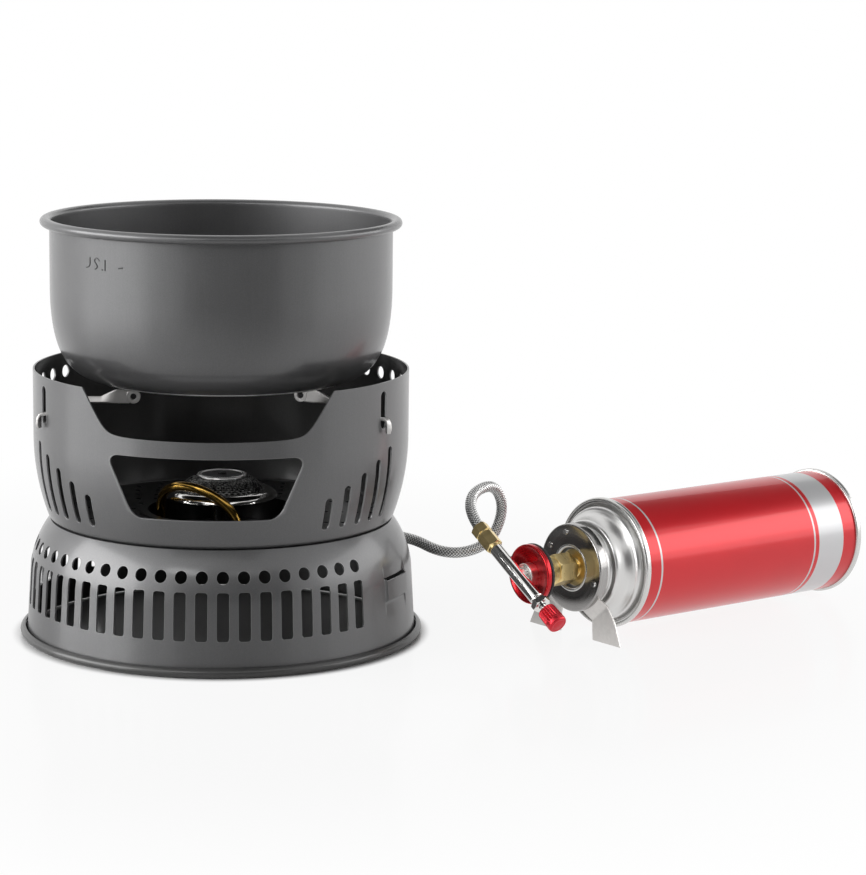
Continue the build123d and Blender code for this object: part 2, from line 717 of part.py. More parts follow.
with BuildPart() as plate_washer:
    with BuildSketch(can_plane.offset(plate_front)):
        Circle(washer_r)
        Circle(hub_r + fit_gap, mode=Mode.SUBTRACT)
    extrude(amount=washer_h)
finish(plate_washer.part, "plate_washer")

# Adapter body: brass shank through the plate, hub, neck, hexagon and grooved nipple.
hub_front = plate_front + hub_h
neck_front = hub_front + neck_len
hex_front = neck_front + hex_len
nipple_front = hex_front + nipple_len
shank_back = plate_front - shank_len
with BuildPart() as adapter_body:
    with BuildSketch(can_side):
        with BuildLine():
            Polyline((adapter_bore_r, shank_back), (shank_r, shank_back), (shank_r, plate_front), (hub_r, plate_front), (hub_r, hub_front),
                     (neck_r, hub_front), (neck_r, hex_front), (nipple_r, hex_front), (nipple_r, nipple_front), (0, nipple_front),
                     (0, plate_front), (adapter_bore_r, plate_front), close=True)
        make_face()
        for k in range(groove_count):
            with Locations((nipple_r, hex_front + (k + 1) * nipple_len / (groove_count + 1))):
                Rectangle(2 * groove_depth, groove_w, mode=Mode.SUBTRACT)
    revolve(axis=can_axis)
    with BuildSketch(can_plane.offset(neck_front)):
        RegularPolygon(hex_af / 2, 6, major_radius=False, rotation=30)
    extrude(amount=hex_len)
finish(adapter_body.part, "adapter_body")

# Gasket, dished coupling disc and slotted plug in front of the nipple.
disc_back = nipple_front + gasket_t
disc_front = disc_back + disc_t
with BuildPart() as coupling_gasket:
    with BuildSketch(can_plane.offset(nipple_front)):
        Circle(gasket_r)
    extrude(amount=gasket_t)
finish(coupling_gasket.part, "coupling_gasket")

with BuildPart() as coupling_disc:
    with BuildSketch(can_side):
        with BuildLine():
            dish_floor = disc_front - disc_dish
            Polyline((0, disc_back), (disc_r, disc_back), (disc_r, disc_front - disc_edge))
            TangentArc((disc_r, disc_front - disc_edge), (disc_r - disc_edge, disc_front), tangent=(0, 1))
            Line((disc_r - disc_edge, disc_front), (disc_dish_r, disc_front))
            TangentArc((disc_dish_r, disc_front), (disc_floor_r, dish_floor), tangent=(-1, 0))
            Polyline((disc_floor_r, dish_floor), (0, dish_floor), (0, disc_back))
        make_face()
    revolve(axis=can_axis)
finish(coupling_disc.part, "coupling_disc")

# Frame of the valve: z along its spindle, down to the knob.
valve_at = disc_front - disc_dish + plug_len + valve_out - plug_slot_depth
drop = math.radians(valve_drop_deg)
valve_dir = can_plane.x_dir * math.cos(drop) - can_plane.y_dir * math.sin(drop)
valve_origin = can_plane.origin + can_plane.z_dir * valve_at
valve_plane = Plane(origin=valve_origin, x_dir=can_plane.z_dir, z_dir=valve_dir)

with BuildPart() as coupling_plug:
    with BuildSketch(can_plane.offset(disc_front - disc_dish)):
        Circle(plug_r)
    extrude(amount=valve_at - disc_front + disc_dish)
    with BuildSketch(can_plane.offset(disc_front - disc_dish + plug_len)):
        Circle(plug_r)
        Circle(valve_r, mode=Mode.SUBTRACT)
    extrude(amount=valve_at, mode=Mode.SUBTRACT)
    with BuildSketch(can_plane.offset(disc_front - disc_dish + plug_len - plug_slot_depth)):
        Rectangle(4 * plug_r, plug_slot_w, rotation=valve_drop_deg)
        Circle(valve_r, mode=Mode.SUBTRACT)
    extrude(amount=plug_slot_depth + overrun, mode=Mode.SUBTRACT)
    with BuildSketch(valve_plane.offset(-valve_up)):
        Circle(valve_r)
    extrude(amount=valve_up + valve_down, mode=Mode.SUBTRACT)
finish(coupling_plug.part, "coupling_plug")

# Valve: bright body, brass hose ferrule above, gland nut, spindle and fluted knob below.
with BuildPart() as valve_body:
    with BuildSketch(valve_plane.offset(-valve_up)):
        Circle(valve_r)
    extrude(amount=valve_up + valve_down)
    with BuildSketch(valve_plane.offset(valve_down - spindle_in)):
        Circle(spindle_r + fit_gap)
    extrude(amount=spindle_in, mode=Mode.SUBTRACT)
finish(valve_body.part, "valve_body")

with BuildPart() as valve_ferrule:
    with BuildSketch(valve_plane.offset(-valve_up)):
        RegularPolygon(valve_ferrule_af / 2, 6, major_radius=False)
    extrude(amount=-valve_ferrule_len)
    with BuildSketch(valve_plane.offset(-valve_up - valve_ferrule_len + ferrule_bore_depth)):
        Circle(hose_d / 2 + fit_gap)
    extrude(amount=-ferrule_bore_depth, mode=Mode.SUBTRACT)
finish(valve_ferrule.part, "valve_ferrule")

with BuildPart() as gland_nut:
    with BuildSketch(valve_plane.offset(valve_down)):
        RegularPolygon(gland_af / 2, 6, major_radius=False)
        Circle(spindle_r + fit_gap, mode=Mode.SUBTRACT)
    extrude(amount=gland_len)
finish(gland_nut.part, "gland_nut")

knob_back = valve_down + gland_len + gland_gap
with BuildPart() as valve_spindle:
    with BuildSketch(valve_plane.offset(valve_down - spindle_in + rest_gap)):
        Circle(spindle_r)
    extrude(amount=knob_back - valve_down + spindle_in - rest_gap)
finish(valve_spindle.part, "valve_spindle")

with BuildPart() as control_knob:
    with BuildSketch(valve_plane.offset(knob_back)):
        Circle(knob_r)
    extrude(amount=knob_len)
    knob_rims = control_knob.edges().filter_by(GeomType.CIRCLE).sort_by(Axis(valve_plane.origin, valve_plane.z_dir))
    chamfer(knob_rims[0], length=knob_edge)
    fillet(knob_rims[-1], radius=knob_round)
    with BuildSketch(valve_plane.offset(knob_back)):
        with PolarLocations(knob_r + flute_r / 3, flute_count):
            Circle(flute_r)
    extrude(amount=knob_grip, mode=Mode.SUBTRACT)
finish(control_knob.part, "control_knob")

# Hose: from the burner's ferrule out through the base's port, then a standing
# loop beside the stove and down into the valve's ferrule.
hose_start = inlet_plane.origin + inlet_plane.z_dir * (inlet_reach + ferrule_len - ferrule_bore_depth)
hose_lead = inlet_plane.origin + inlet_plane.z_dir * (inlet_reach + 2 * ferrule_len)
hose_end = valve_plane.origin - valve_plane.z_dir * (valve_up + valve_ferrule_len - ferrule_bore_depth)
hose_tail = valve_plane.origin - valve_plane.z_dir * (valve_up + valve_ferrule_len + ferrule_bore_depth)
hose_route = [
    hose_start,
    hose_lead,
    Vector(66.0, 34.0, 41.5),
    Vector(94.0, 45.0, 42.5),
    Vector(117.0, 28.0, 34.5),
    Vector(139.5, 36.0, 38.5),
    Vector(148.0, 43.0, 59.5),
    Vector(142.5, 35.0, 76.0),
    Vector(129.5, 18.0, 72.5),
    hose_tail,
    hose_end,
]
hose_runs = [b - a for a, b in zip(hose_route, hose_route[1:])]
hose_bends = []
for run_in, run_out in zip(hose_runs, hose_runs[1:]):
    half_turn = math.radians(run_in.get_angle(run_out)) / 2
    hose_bends.append(hose_bend_share * min(run_in.length, run_out.length) / math.tan(half_turn))
with BuildPart() as hose:
    with BuildLine() as hose_path:
        FilletPolyline(*hose_route, radius=hose_bends)
    with BuildSketch(Plane(origin=hose_start, z_dir=inlet_plane.z_dir)):
        Circle(hose_d / 2)
    sweep(path=hose_path.line)
finish(hose.part, "hose")
print("hose runs", [round(r.length, 1) for r in hose_runs])
print("hose bends", [round(r, 1) for r in hose_bends])
hose_length = sum(edge.length for edge in hose_path.line.edges())
print("hose length", round(hose_length, 1))
print("hose volume share", round(hose.part.volume / (math.pi * hose_d ** 2 / 4 * hose_length), 4))
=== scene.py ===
import math

import bmesh
import bpy
import numpy as np
from mathutils import Matrix


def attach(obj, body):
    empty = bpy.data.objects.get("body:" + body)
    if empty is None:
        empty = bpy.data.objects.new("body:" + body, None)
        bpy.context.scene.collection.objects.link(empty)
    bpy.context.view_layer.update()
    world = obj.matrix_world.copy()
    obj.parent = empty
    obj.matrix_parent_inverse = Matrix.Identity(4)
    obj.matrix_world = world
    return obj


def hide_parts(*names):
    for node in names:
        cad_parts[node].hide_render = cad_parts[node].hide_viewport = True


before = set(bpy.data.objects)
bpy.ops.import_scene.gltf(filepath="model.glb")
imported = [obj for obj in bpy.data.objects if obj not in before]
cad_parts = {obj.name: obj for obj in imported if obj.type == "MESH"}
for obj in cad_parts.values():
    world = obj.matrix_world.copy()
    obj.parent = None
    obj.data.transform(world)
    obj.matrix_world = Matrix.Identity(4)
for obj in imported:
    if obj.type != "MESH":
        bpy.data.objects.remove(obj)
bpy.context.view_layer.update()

scene = bpy.context.scene
scene.view_settings.view_transform = "Standard"

# Camera
# A long lens a metre and a half in front of the stove, a little above the pot's
# rim, turned left by a degree and rolled by less than one.
picture_h = 875
focal_px = 2936.9
camera_at = np.array([0.1356, -1.4963, 0.3715])
heading, pitch, roll = np.radians([1.0, 10.16, 0.73])
ahead = np.array([-math.sin(heading), math.cos(heading), 0.0])
level = np.array([math.cos(heading), math.sin(heading), 0.0])
upward = np.array([0.0, 0.0, 1.0])
look_up = ahead * math.sin(pitch) + upward * math.cos(pitch)
look_back = upward * math.sin(pitch) - ahead * math.cos(pitch)
picture_x = level * math.cos(roll) + look_up * math.sin(roll)
picture_y = look_up * math.cos(roll) - level * math.sin(roll)
lens = bpy.data.cameras.new("camera")
lens.sensor_width = 36.0
lens.lens = focal_px / picture_h * lens.sensor_width
camera = bpy.data.objects.new("camera", lens)
camera_pose = np.eye(4)
camera_pose[:3] = np.column_stack([picture_x, picture_y, look_back, camera_at])
camera.matrix_world = Matrix(camera_pose.tolist())
scene.collection.objects.link(camera)
scene.camera = camera


# Floor and light
# White floor that runs out into a white surround, and that metal mirrors white behind
# the stove and beside the can; large soft boxes left and right, two thin strips in
# front, and dark cards that only gloss and metal mirror.
def fed(tree, target, value):
    """Links a socket to a target socket, or holds a value in it."""
    if isinstance(value, bpy.types.NodeSocket):
        tree.links.new(value, target)
    else:
        target.default_value = value


def added(tree, kind, inputs=(), output=0, **settings):
    """A new node with its settings and inputs; returns one of its outputs."""
    node = tree.nodes.new("ShaderNode" + kind)
    for name, value in settings.items():
        setattr(node, name, value)
    for name, value in dict(inputs).items():
        fed(tree, node.inputs[name], value)
    return node.outputs[output]


def combined(tree, operation, first, second):
    """One Math node; each input is a socket or a number."""
    return added(tree, "Math", {0: first, 1: second}, operation=operation)


def ranged(tree, source, low=0.0, high=1.0, low_in=0.3, high_in=0.7, smooth=False):
    """A value carried over from one range to another, held at both ends."""
    ends = {"Value": source, "From Min": low_in, "From Max": high_in, "To Min": low, "To Max": high}
    return added(tree, "MapRange", ends, interpolation_type="SMOOTHSTEP" if smooth else "LINEAR")


def ray_kinds(tree):
    """Light Path's switches for rays from the camera and for rays off gloss or through glass."""
    ray = tree.nodes.new("ShaderNodeLightPath").outputs
    return ray["Is Camera Ray"], combined(tree, "MAXIMUM", ray["Is Glossy Ray"], ray["Is Transmission Ray"])


def set_sheet(name, half_w, half_h, placement, finish):
    """A flat sheet of the set: the unit square, scaled by two half sizes and placed."""
    corners = np.array([(-1, -1, 0), (1, -1, 0), (1, 1, 0), (-1, 1, 0)]) * (half_w, half_h, 0)
    mesh = bpy.data.meshes.new(name)
    mesh.from_pydata((corners @ placement[:3, :3].T + placement[:3, 3]).tolist(), [], [(0, 1, 2, 3)])
    mesh.materials.append(finish)
    sheet = bpy.data.objects.new(name, mesh)
    scene.collection.objects.link(sheet)
    return sheet


ambient_level = 0.19
white_level = 1.0
surround = bpy.data.worlds.new("surround")
scene.world = surround
surround.use_nodes = True
tree = surround.node_tree
tree.nodes.clear()
ambient, white = (added(tree, "Background", {"Color": (1, 1, 1, 1), "Strength": strength})
                  for strength in (ambient_level, white_level))
seen = combined(tree, "MAXIMUM", *ray_kinds(tree))
surround_light = added(tree, "MixShader", {0: seen, 1: ambient, 2: white})
tree.links.new(surround_light, tree.nodes.new("ShaderNodeOutputWorld").inputs["Surface"])

floor_half = 4.0
floor_drop = 0.0003
floor_rough = 0.16
floor_shine = 0.22
# Under the base the floor is painted darker, changing tone across the reach below: painted shade seen through
# the slots.
painted_shade_under_base_tone = 0.25
open_floor_tone = 0.93
painted_shade_under_base_reach = (0.097, 0.1005)
near_glow = 0.88
near_glow_reach = (0.1035, 0.11)
far_glow = 0.12
far_glow_reach = (0.25, 0.5)
mirror_behind_y = (-0.05, 0.25)
mirror_by_can_at = (0.38, -0.03, 0.0)
mirror_by_can_reach = (0.15, 0.42)
floor_paint = bpy.data.materials.new("white_floor")
floor_paint.use_nodes = True
tree = floor_paint.node_tree
paint = tree.nodes["Principled BSDF"]
paint.inputs["Roughness"].default_value = floor_rough
paint.inputs["Specular IOR Level"].default_value = floor_shine
spot = tree.nodes.new("ShaderNodeTexCoord").outputs["Object"]
away, from_can = (added(tree, "VectorMath", {0: spot, 1: centre}, "Value", operation="DISTANCE")
                  for centre in ((0, 0, 0), mirror_by_can_at))
# Painted shade: the floor's colour darkens inside the base's foot ring.
floor_tone_with_painted_shade = ranged(tree, away, painted_shade_under_base_tone, open_floor_tone, *painted_shade_under_base_reach)
tree.links.new(floor_tone_with_painted_shade, paint.inputs["Base Color"])
near = ranged(tree, away, 0.0, near_glow, *near_glow_reach, True)
far = ranged(tree, away, 0.0, far_glow, *far_glow_reach, True)
behind = ranged(tree, added(tree, "SeparateXYZ", {0: spot}, "Y"), 0.0, 1.0, *mirror_behind_y, True)
by_can = ranged(tree, from_can, 1.0, 0.0, *mirror_by_can_reach, True)
camera_ray, mirrored = ray_kinds(tree)
mirrored = combined(tree, "MULTIPLY", mirrored, combined(tree, "MAXIMUM", behind, by_can))
seen = combined(tree, "MAXIMUM", camera_ray, mirrored)
glow_share = combined(tree, "MULTIPLY", combined(tree, "ADD", near, far), seen)
lit = added(tree, "MixShader", {0: glow_share, 1: paint.outputs[0], 2: added(tree, "Emission")})
tree.links.new(lit, tree.nodes["Material Output"].inputs["Surface"])
floor_place = np.eye(4)
floor_place[2, 3] = -floor_drop
set_sheet("floor", floor_half, floor_half, floor_place, floor_paint)


def aimed(at, to):
    """Placement that points -Z from one point to another with its X level."""
    back = np.subtract(at, to) / np.linalg.norm(np.subtract(at, to))
    flat = np.cross((0.0, 1e-6, 1.0), back)
    flat = flat / np.linalg.norm(flat)
    placement = np.eye(4)
    placement[:3] = np.column_stack([flat, np.cross(back, flat), back, at])
    return placement


stove_mid = (0.08, 0.0, 0.1)
# Each box: its middle, its width, its height and its power in watts.
soft_boxes = {
    "left_box": ((-1.75, -0.5, 0.72), 2.0, 1.2, 39.0),
    "right_box": ((1.55, 0.15, 0.5), 1.7, 0.8, 9.5),
    "front_strip_left": ((-0.45, -1.3, 1.0), 0.6, 0.16, 2.2),
    "front_strip_right": ((0.5, -1.3, 1.0), 0.6, 0.16, 0.6),
}
for box_name, (box_at, box_w, box_h, watts) in soft_boxes.items():
    soft = bpy.data.lights.new(box_name, "AREA")
    soft.shape = "RECTANGLE"
    soft.size = box_w
    soft.size_y = box_h
    soft.energy = watts
    lamp = bpy.data.objects.new(box_name, soft)
    lamp.matrix_world = Matrix(aimed(box_at, stove_mid).tolist())
    scene.collection.objects.link(lamp)

card_grey = (0.02, 0.02, 0.02, 1)
card_paint = bpy.data.materials.new("dark_card")
card_paint.use_nodes = True
card_paint.node_tree.nodes["Principled BSDF"].inputs["Base Color"].default_value = card_grey
# Each card: its middle, its width and its height.
dark_cards = {
    "card_behind_camera": ((0.55, -2.5, 0.8), 3.4, 2.2),
    "card_high_rear": ((0.95, 0.9, 1.1), 1.6, 0.5),
    "card_low_right": ((2.0, -0.15, 0.28), 1.8, 0.3),
    "card_overhead": ((0.05, -0.35, 1.6), 1.3, 1.4),
}
for card_name, (card_at, card_w, card_h) in dark_cards.items():
    card = set_sheet(card_name, card_w / 2, card_h / 2, aimed(card_at, stove_mid), card_paint)
    card.visible_camera = False
    card.visible_diffuse = False
    card.visible_shadow = False

# Base shell
# Drawn aluminium shell, blasted and hard-anodised: rolled foot bead, a row of
# punched holes over a row of slots on its front half, two lanced tabs, hose port.
mm = 0.001


def noise_of(tree, source, scale, detail=3.0, stretch=(1, 1, 1)):
    """Noise of a given number of grains per metre, squeezed by stretch."""
    squeezed = added(tree, "Mapping", {"Vector": source, "Scale": stretch})
    return added(tree, "TexNoise", {"Vector": squeezed, "Scale": scale, "Detail": detail}, "Fac")


def blended(tree, share, first, second):
    """Colour that goes from first to second with a share; each is a value or a socket."""
    mix = tree.nodes.new("ShaderNodeMix")
    mix.data_type = "RGBA"
    ends = {entry.name: entry for entry in mix.inputs if entry.type == "RGBA"}
    for socket, value in ((mix.inputs[0], share), (ends["A"], first), (ends["B"], second)):
        fed(tree, socket, (*value, 1) if isinstance(value, tuple) else value)
    return next(entry for entry in mix.outputs if entry.type == "RGBA")


def bumped(tree, source, shader, depth, strength=0.5):
    """Fine relief of a given depth in metres from a noise."""
    relief = added(tree, "Bump", {"Strength": strength, "Distance": depth, "Height": source})
    tree.links.new(relief, shader.inputs["Normal"])


def new_finish(name, metallic, **settings):
    """An empty finish: its material, tree, shader and texture coordinates."""
    finish = bpy.data.materials.new(name)
    finish.use_nodes = True
    tree = finish.node_tree
    shader = tree.nodes["Principled BSDF"]
    shader.inputs["Metallic"].default_value = metallic
    for socket, value in settings.items():
        shader.inputs[socket.replace("_", " ")].default_value = value
    return finish, tree, shader, tree.nodes.new("ShaderNodeTexCoord").outputs


def held_value(tree, name):
    """Reads a number that the mesh holds at each point."""
    return added(tree, "Attribute", output="Fac", attribute_name=name)


def painted(tree, shader, colour, rough):
    """Links a colour and a roughness to a shader."""
    tree.links.new(colour, shader.inputs["Base Color"])
    tree.links.new(rough, shader.inputs["Roughness"])


# Light grey that is painted along punched edges as a painted highlight.
edge_highlight_grey = (0.42, 0.42, 0.425)


def anodised_finish(name, dark, light, rough=(0.4, 0.5), metallic=0.6):
    """Matt anodised skin: blasted grain, faint drawing marks and slow clouds drift
    between two greys; punched edges, held in an attribute, get a lighter grey as a painted highlight."""
    finish, tree, shader, source = new_finish(name, metallic, Coat_Weight=0.6, Coat_Roughness=0.16)
    fine = noise_of(tree, source["Object"], 2400.0)
    cloud = noise_of(tree, source["Object"], 30.0)
    drawn = noise_of(tree, source["Object"], 900.0, 2.0, (1, 1, 0.04))
    skin = blended(tree, ranged(tree, fine), dark, light)
    for marks, weight in ((cloud, 0.3), (drawn, 0.12)):
        skin = blended(tree, weight, skin, blended(tree, ranged(tree, marks), dark, light))
    # Painted highlight: near a punched edge the skin is blended towards the lighter grey.
    edge_highlight_share = ranged(tree, held_value(tree, "punched_edge"), 0.0, 0.3, 0.6, 1.0)
    painted(tree, shader, blended(tree, edge_highlight_share, skin, edge_highlight_grey), ranged(tree, cloud, *rough))
    bumped(tree, fine, shader, 0.00004, 0.35)
    return finish


dark_anodised = anodised_finish("dark_anodised", (0.097, 0.097, 0.099), (0.132, 0.132, 0.134))


def new_piece(name, points, faces, finish, body, node=None, merge=True, crease=35.0,
              uv=None, held=None):
    """A mesh object from points in millimetres and faces: doubled points merge, faces
    turn outwards, and edges over the crease angle stay sharp. Held values, one at each
    point by name, are for its finish to read."""
    mesh = bpy.data.meshes.new(name)
    mesh.from_pydata((np.asarray(points) * mm).tolist(), [], np.asarray(faces).tolist())
    if uv is not None:
        mesh.uv_layers.new(name="surface").data.foreach_set("uv", np.asarray(uv, np.float32).ravel())
    for held_name, values in (held or {}).items():
        layer = mesh.attributes.new(held_name, "FLOAT", "POINT")
        layer.data.foreach_set("value", np.asarray(values, np.float32).ravel())
    if merge:
        work = bmesh.new()
        work.from_mesh(mesh)
        bmesh.ops.remove_doubles(work, verts=work.verts, dist=2e-6)
        bmesh.ops.recalc_face_normals(work, faces=work.faces)
        work.to_mesh(mesh)
        work.free()
    mesh.polygons.foreach_set("use_smooth", np.ones(len(mesh.polygons), bool))
    mesh.set_sharp_from_angle(angle=math.radians(crease))
    mesh.materials.append(finish)
    piece = bpy.data.objects.new(name, mesh)
    scene.collection.objects.link(piece)
    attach(piece, body)
    if node:
        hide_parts(node)
    return piece


def polar(turn, radius, height):
    """Points at an angle from -Y towards +X, a radius and a height."""
    return np.stack(np.broadcast_arrays(radius * np.sin(turn), -radius * np.cos(turn), height), -1)


def punched_shell(turns, radii, heights, holes, radius_at, ring_count=3):
    """Wall of a turned shell as a grid of angle by profile row. Each hole takes its block
    of cells out; even rings then run from the block's border to the nearest points of the
    hole's rounded outline, which may widen upwards by its lean. Returns points, quads and
    each point's nearness to a punched edge."""
    rows, cols = heights.shape
    index = np.arange(rows * cols).reshape(rows, cols)
    points = [polar(turns, radii, heights).reshape(-1, 3)]
    edge = [np.zeros(rows * cols)]
    whole = np.ones((rows - 1, cols), bool)
    quads = []
    total = rows * cols
    share = np.linspace(0, 1, ring_count + 1)[1:, None]
    for c0, c1, r0, r1, mid, mid_z, half_w, half_h, corner, lean in holes:
        span = np.arange(c0, c1 + 1) % cols
        whole[r0:r1, span[:-1]] = False
        loop = np.concatenate([index[r0, span[:-1]], index[r0:r1, span[-1]],
                               index[r1, span[:0:-1]], index[r1:r0:-1, span[0]]])
        at_row, at_col = np.divmod(loop, cols)
        x = radii[at_row, at_col] * np.sin(turns[at_col] - mid)
        y = heights[at_row, at_col] - mid_z
        flat_x = x / (1 + lean * y / half_h)
        core_x = np.clip(flat_x, corner - half_w, half_w - corner)
        core_y = np.clip(y, corner - half_h, half_h - corner)
        off = np.hypot(flat_x - core_x, y - core_y)
        hole_y = core_y + corner * (y - core_y) / off
        hole_x = (core_x + corner * (flat_x - core_x) / off) * (1 + lean * hole_y / half_h)
        ring_x = x + share * (hole_x - x)
        ring_z = mid_z + y + share * (hole_y - y)
        ring_r = radius_at(ring_z)
        points.append(polar(mid + np.arcsin(ring_x / ring_r), ring_r, ring_z).reshape(-1, 3))
        edge.append(np.repeat(share.ravel() == 1, len(loop)).astype(float))
        rings = np.vstack([loop, total + np.arange(ring_count * len(loop)).reshape(ring_count, -1)])
        total += ring_count * len(loop)
        near, far = rings[:-1], rings[1:]
        quads.append(np.stack([near, np.roll(near, -1, 1), np.roll(far, -1, 1), far], -1).reshape(-1, 4))
    right = np.roll(index, -1, 1)
    quads.append(np.stack([index[:-1], right[:-1], right[1:], index[1:]], -1)[whole])
    used, quads = np.unique(np.concatenate(quads), return_inverse=True)
    return np.concatenate(points)[used], quads.reshape(-1, 4), np.concatenate(edge)[used]


def sheet_metal(piece, wall, edge_round=0.22, inside=None):
    """Gives a surface its sheet thickness inwards and rounds the cut edges; the new inner
    side may have a finish of its own."""
    thick = piece.modifiers.new("sheet", "SOLIDIFY")
    thick.thickness = wall * mm
    thick.offset = -1.0
    thick.use_even_offset = True
    if inside:
        piece.data.materials.append(inside)
        thick.material_offset = 1
    rounding = piece.modifiers.new("cut_edges", "BEVEL")
    rounding.width = edge_round * mm
    rounding.segments = 2
    rounding.limit_method = "ANGLE"
    rounding.angle_limit = math.radians(50)
    rounding.harden_normals = True


def smooth_step(value, low, high):
    """Goes from 0 at low to 1 at high along a smooth curve."""
    share = np.clip((value - low) / (high - low), 0, 1)
    return share * share * (3 - 2 * share)


def circle_through(a, b, c):
    """Centre and radius of the circle through three points."""
    rows = 2 * np.array([np.subtract(b, a), np.subtract(c, a)])
    centre = np.linalg.solve(rows, [np.dot(b, b) - np.dot(a, a), np.dot(c, c) - np.dot(a, a)])
    return centre, np.linalg.norm(np.subtract(a, centre))


def hole(grid, deg, reach_deg, reach_z, mid_z, half, corner, lean=0.0):
    """One hole of a punched shell: the columns and rows of the grid lines nearest to its
    block's four sides, then its middle, half sizes, corner and lean."""
    column_degs, row_z, first_row = grid
    sides = (deg - reach_deg, deg + reach_deg)
    ends = [int(np.abs((column_degs - side + 180) % 360 - 180).argmin()) for side in sides]
    if ends[1] < ends[0]:
        ends[1] += len(column_degs)
    rows = [first_row + int(np.abs(row_z - z).argmin()) for z in reach_z]
    return (*ends, *rows, math.radians(deg), mid_z, *half, corner, lean)


sheet_wall = 1.0
base_h = 61.0
base_top_r = 88.6
base_lip_r = 83.2
base_foot_r = 100.9
shoulder_r = 98.8
shoulder_z = 37.0
shoulder_out_share = 0.667
shoulder_up_share = 0.52
shoulder_mid = (base_top_r + shoulder_out_share * (shoulder_r - base_top_r),
                shoulder_z + shoulder_up_share * (base_h - shoulder_z))
shoulder_centre, shoulder_round = circle_through((shoulder_r, shoulder_z), shoulder_mid, (base_top_r, base_h))
curl_r = 1.3
curl_z = 2.3
curl_from = 460
curl_to = 180


def base_radius(z):
    """Straight lean from the foot to the shoulder, then the shoulder's arc to the top."""
    lean = base_foot_r + (shoulder_r - base_foot_r) * (z - curl_z) / (shoulder_z - curl_z)
    arc = shoulder_centre[0] + np.sqrt(np.maximum(shoulder_round ** 2 - (z - shoulder_centre[1]) ** 2, 0))
    return np.where(z < shoulder_z, lean, arc)


vent_count = 30
vent_cells = 8
vent_pitch = 6.2
vent_from = -134.0
vent_to = vent_from + vent_count * vent_pitch
# Plain stretches of wall: from and to in degrees, and the number of columns.
plain_zones = ((52, 60, 10), (60, 78, 54), (78, 196, 118), (196, 214, 54), (214, 226, 15))
base_deg = np.concatenate([np.linspace(vent_from, vent_to, vent_count * vent_cells, endpoint=False)]
                          + [np.linspace(*zone, endpoint=False) for zone in plain_zones])
slot_rows_z = (15.2, 43.9)
hole_rows_z = (43.9, 54.0)
curl = np.radians(np.linspace(curl_from, curl_to, 20, endpoint=False))
wall_z = np.concatenate([np.linspace(curl_z, slot_rows_z[0], 8), np.linspace(*slot_rows_z, 29)[1:],
                         np.linspace(*hole_rows_z, 9)[1:], np.linspace(hole_rows_z[1], base_h, 8)[1:]])
lip_r = np.linspace(base_top_r, base_lip_r, 5)[1:]
row_r = np.concatenate([base_foot_r + curl_r * (1 + np.cos(curl)), base_radius(wall_z), lip_r])
row_z = np.concatenate([curl_z + curl_r * np.sin(curl), wall_z, np.full(len(lip_r), base_h)])
base_radii, base_heights = (np.repeat(row[:, None], len(base_deg), 1) for row in (row_r, row_z))
base_grid = (base_deg, wall_z, len(curl))
round_rest = 0.001
slot_half = (3.05, 12.1)
slot_mid_z = 29.6
slot_corner = 1.4
vent_hole_r = 3.1
vent_hole_z = 48.7
base_holes = []
for d in vent_from + (np.arange(vent_count) + 0.5) * vent_pitch:
    base_holes.append(hole(base_grid, d, vent_pitch / 2, slot_rows_z, slot_mid_z, slot_half, slot_corner))
    base_holes.append(hole(base_grid, d, vent_pitch / 2, hole_rows_z, vent_hole_z,
                           (vent_hole_r, vent_hole_r), vent_hole_r - round_rest))
tab_degs = (69.0, 205.0)
tab_half_w = 12.4
tab_z = (26.6, 37.5)
tab_slit = 1.1
tab_slit_corner = 0.3
tab_reach_deg = 8.7
tab_rows_z = (36.6, 39.6)
for d in tab_degs:
    base_holes.append(hole(base_grid, d, tab_reach_deg, tab_rows_z, tab_z[1] + tab_slit / 2,
                           (tab_half_w, tab_slit / 2), tab_slit_corner))
port_deg = 116.0
port_mid_z = 41.0
port_half = (15.0, 11.0)
port_corner = 5.0
port_reach_deg = 10.9
port_rows_z = (26.4, 54.0)
base_holes.append(hole(base_grid, port_deg, port_reach_deg, port_rows_z, port_mid_z, port_half, port_corner))
points, quads, edge = punched_shell(np.radians(base_deg), base_radii, base_heights, base_holes, base_radius)
tab_proud = 1.2
tab_press = 0.9
tab_press_h = 8.5
tab_press_low_share = 0.5
tab_split_z = tab_z[1] + 0.3
tab_side = (tab_half_w - 0.2, tab_half_w + 0.4)
tab_fold_z = (tab_z[0] - 0.4, tab_z[0] + 0.5)
press_over_z = (tab_z[1] + tab_slit, tab_z[1] + tab_press_h)
press_under_z = (tab_z[0] - tab_press_h, tab_z[0] - 1.0)
near_wall_r = (60, 70)
for d in tab_degs:
    out = polar(math.radians(d), 1.0, 0.0)
    across = np.abs(points @ polar(math.radians(d + 90), 1.0, 0.0))
    z = points[:, 2]
    near_wall = smooth_step(points @ out, *near_wall_r)
    inside = near_wall * (1 - smooth_step(across, *tab_side))
    tab = smooth_step(z, *tab_fold_z) * (z < tab_split_z)
    above = (1 - smooth_step(z, *press_over_z)) * (z > tab_split_z)
    below = smooth_step(z, *press_under_z) * (z < tab_z[0])
    push = tab_proud * tab - tab_press * above - tab_press_low_share * tab_press * below * (1 - tab)
    points = points + (push * inside)[:, None] * out
base_piece = new_piece("base_wall", points, quads, dark_anodised, "stove_base",
                       "base_shell", merge=False, crease=60, held={"punched_edge": edge})
# The inner side takes a darker copy of the anodised finish: painted shade for the unlit inside of the shell.
painted_shade_inside = anodised_finish("painted_shade_inside", (0.036, 0.036, 0.036), (0.06, 0.059, 0.058), (0.5, 0.6), 0.3)
sheet_metal(base_piece, sheet_wall, inside=painted_shade_inside)

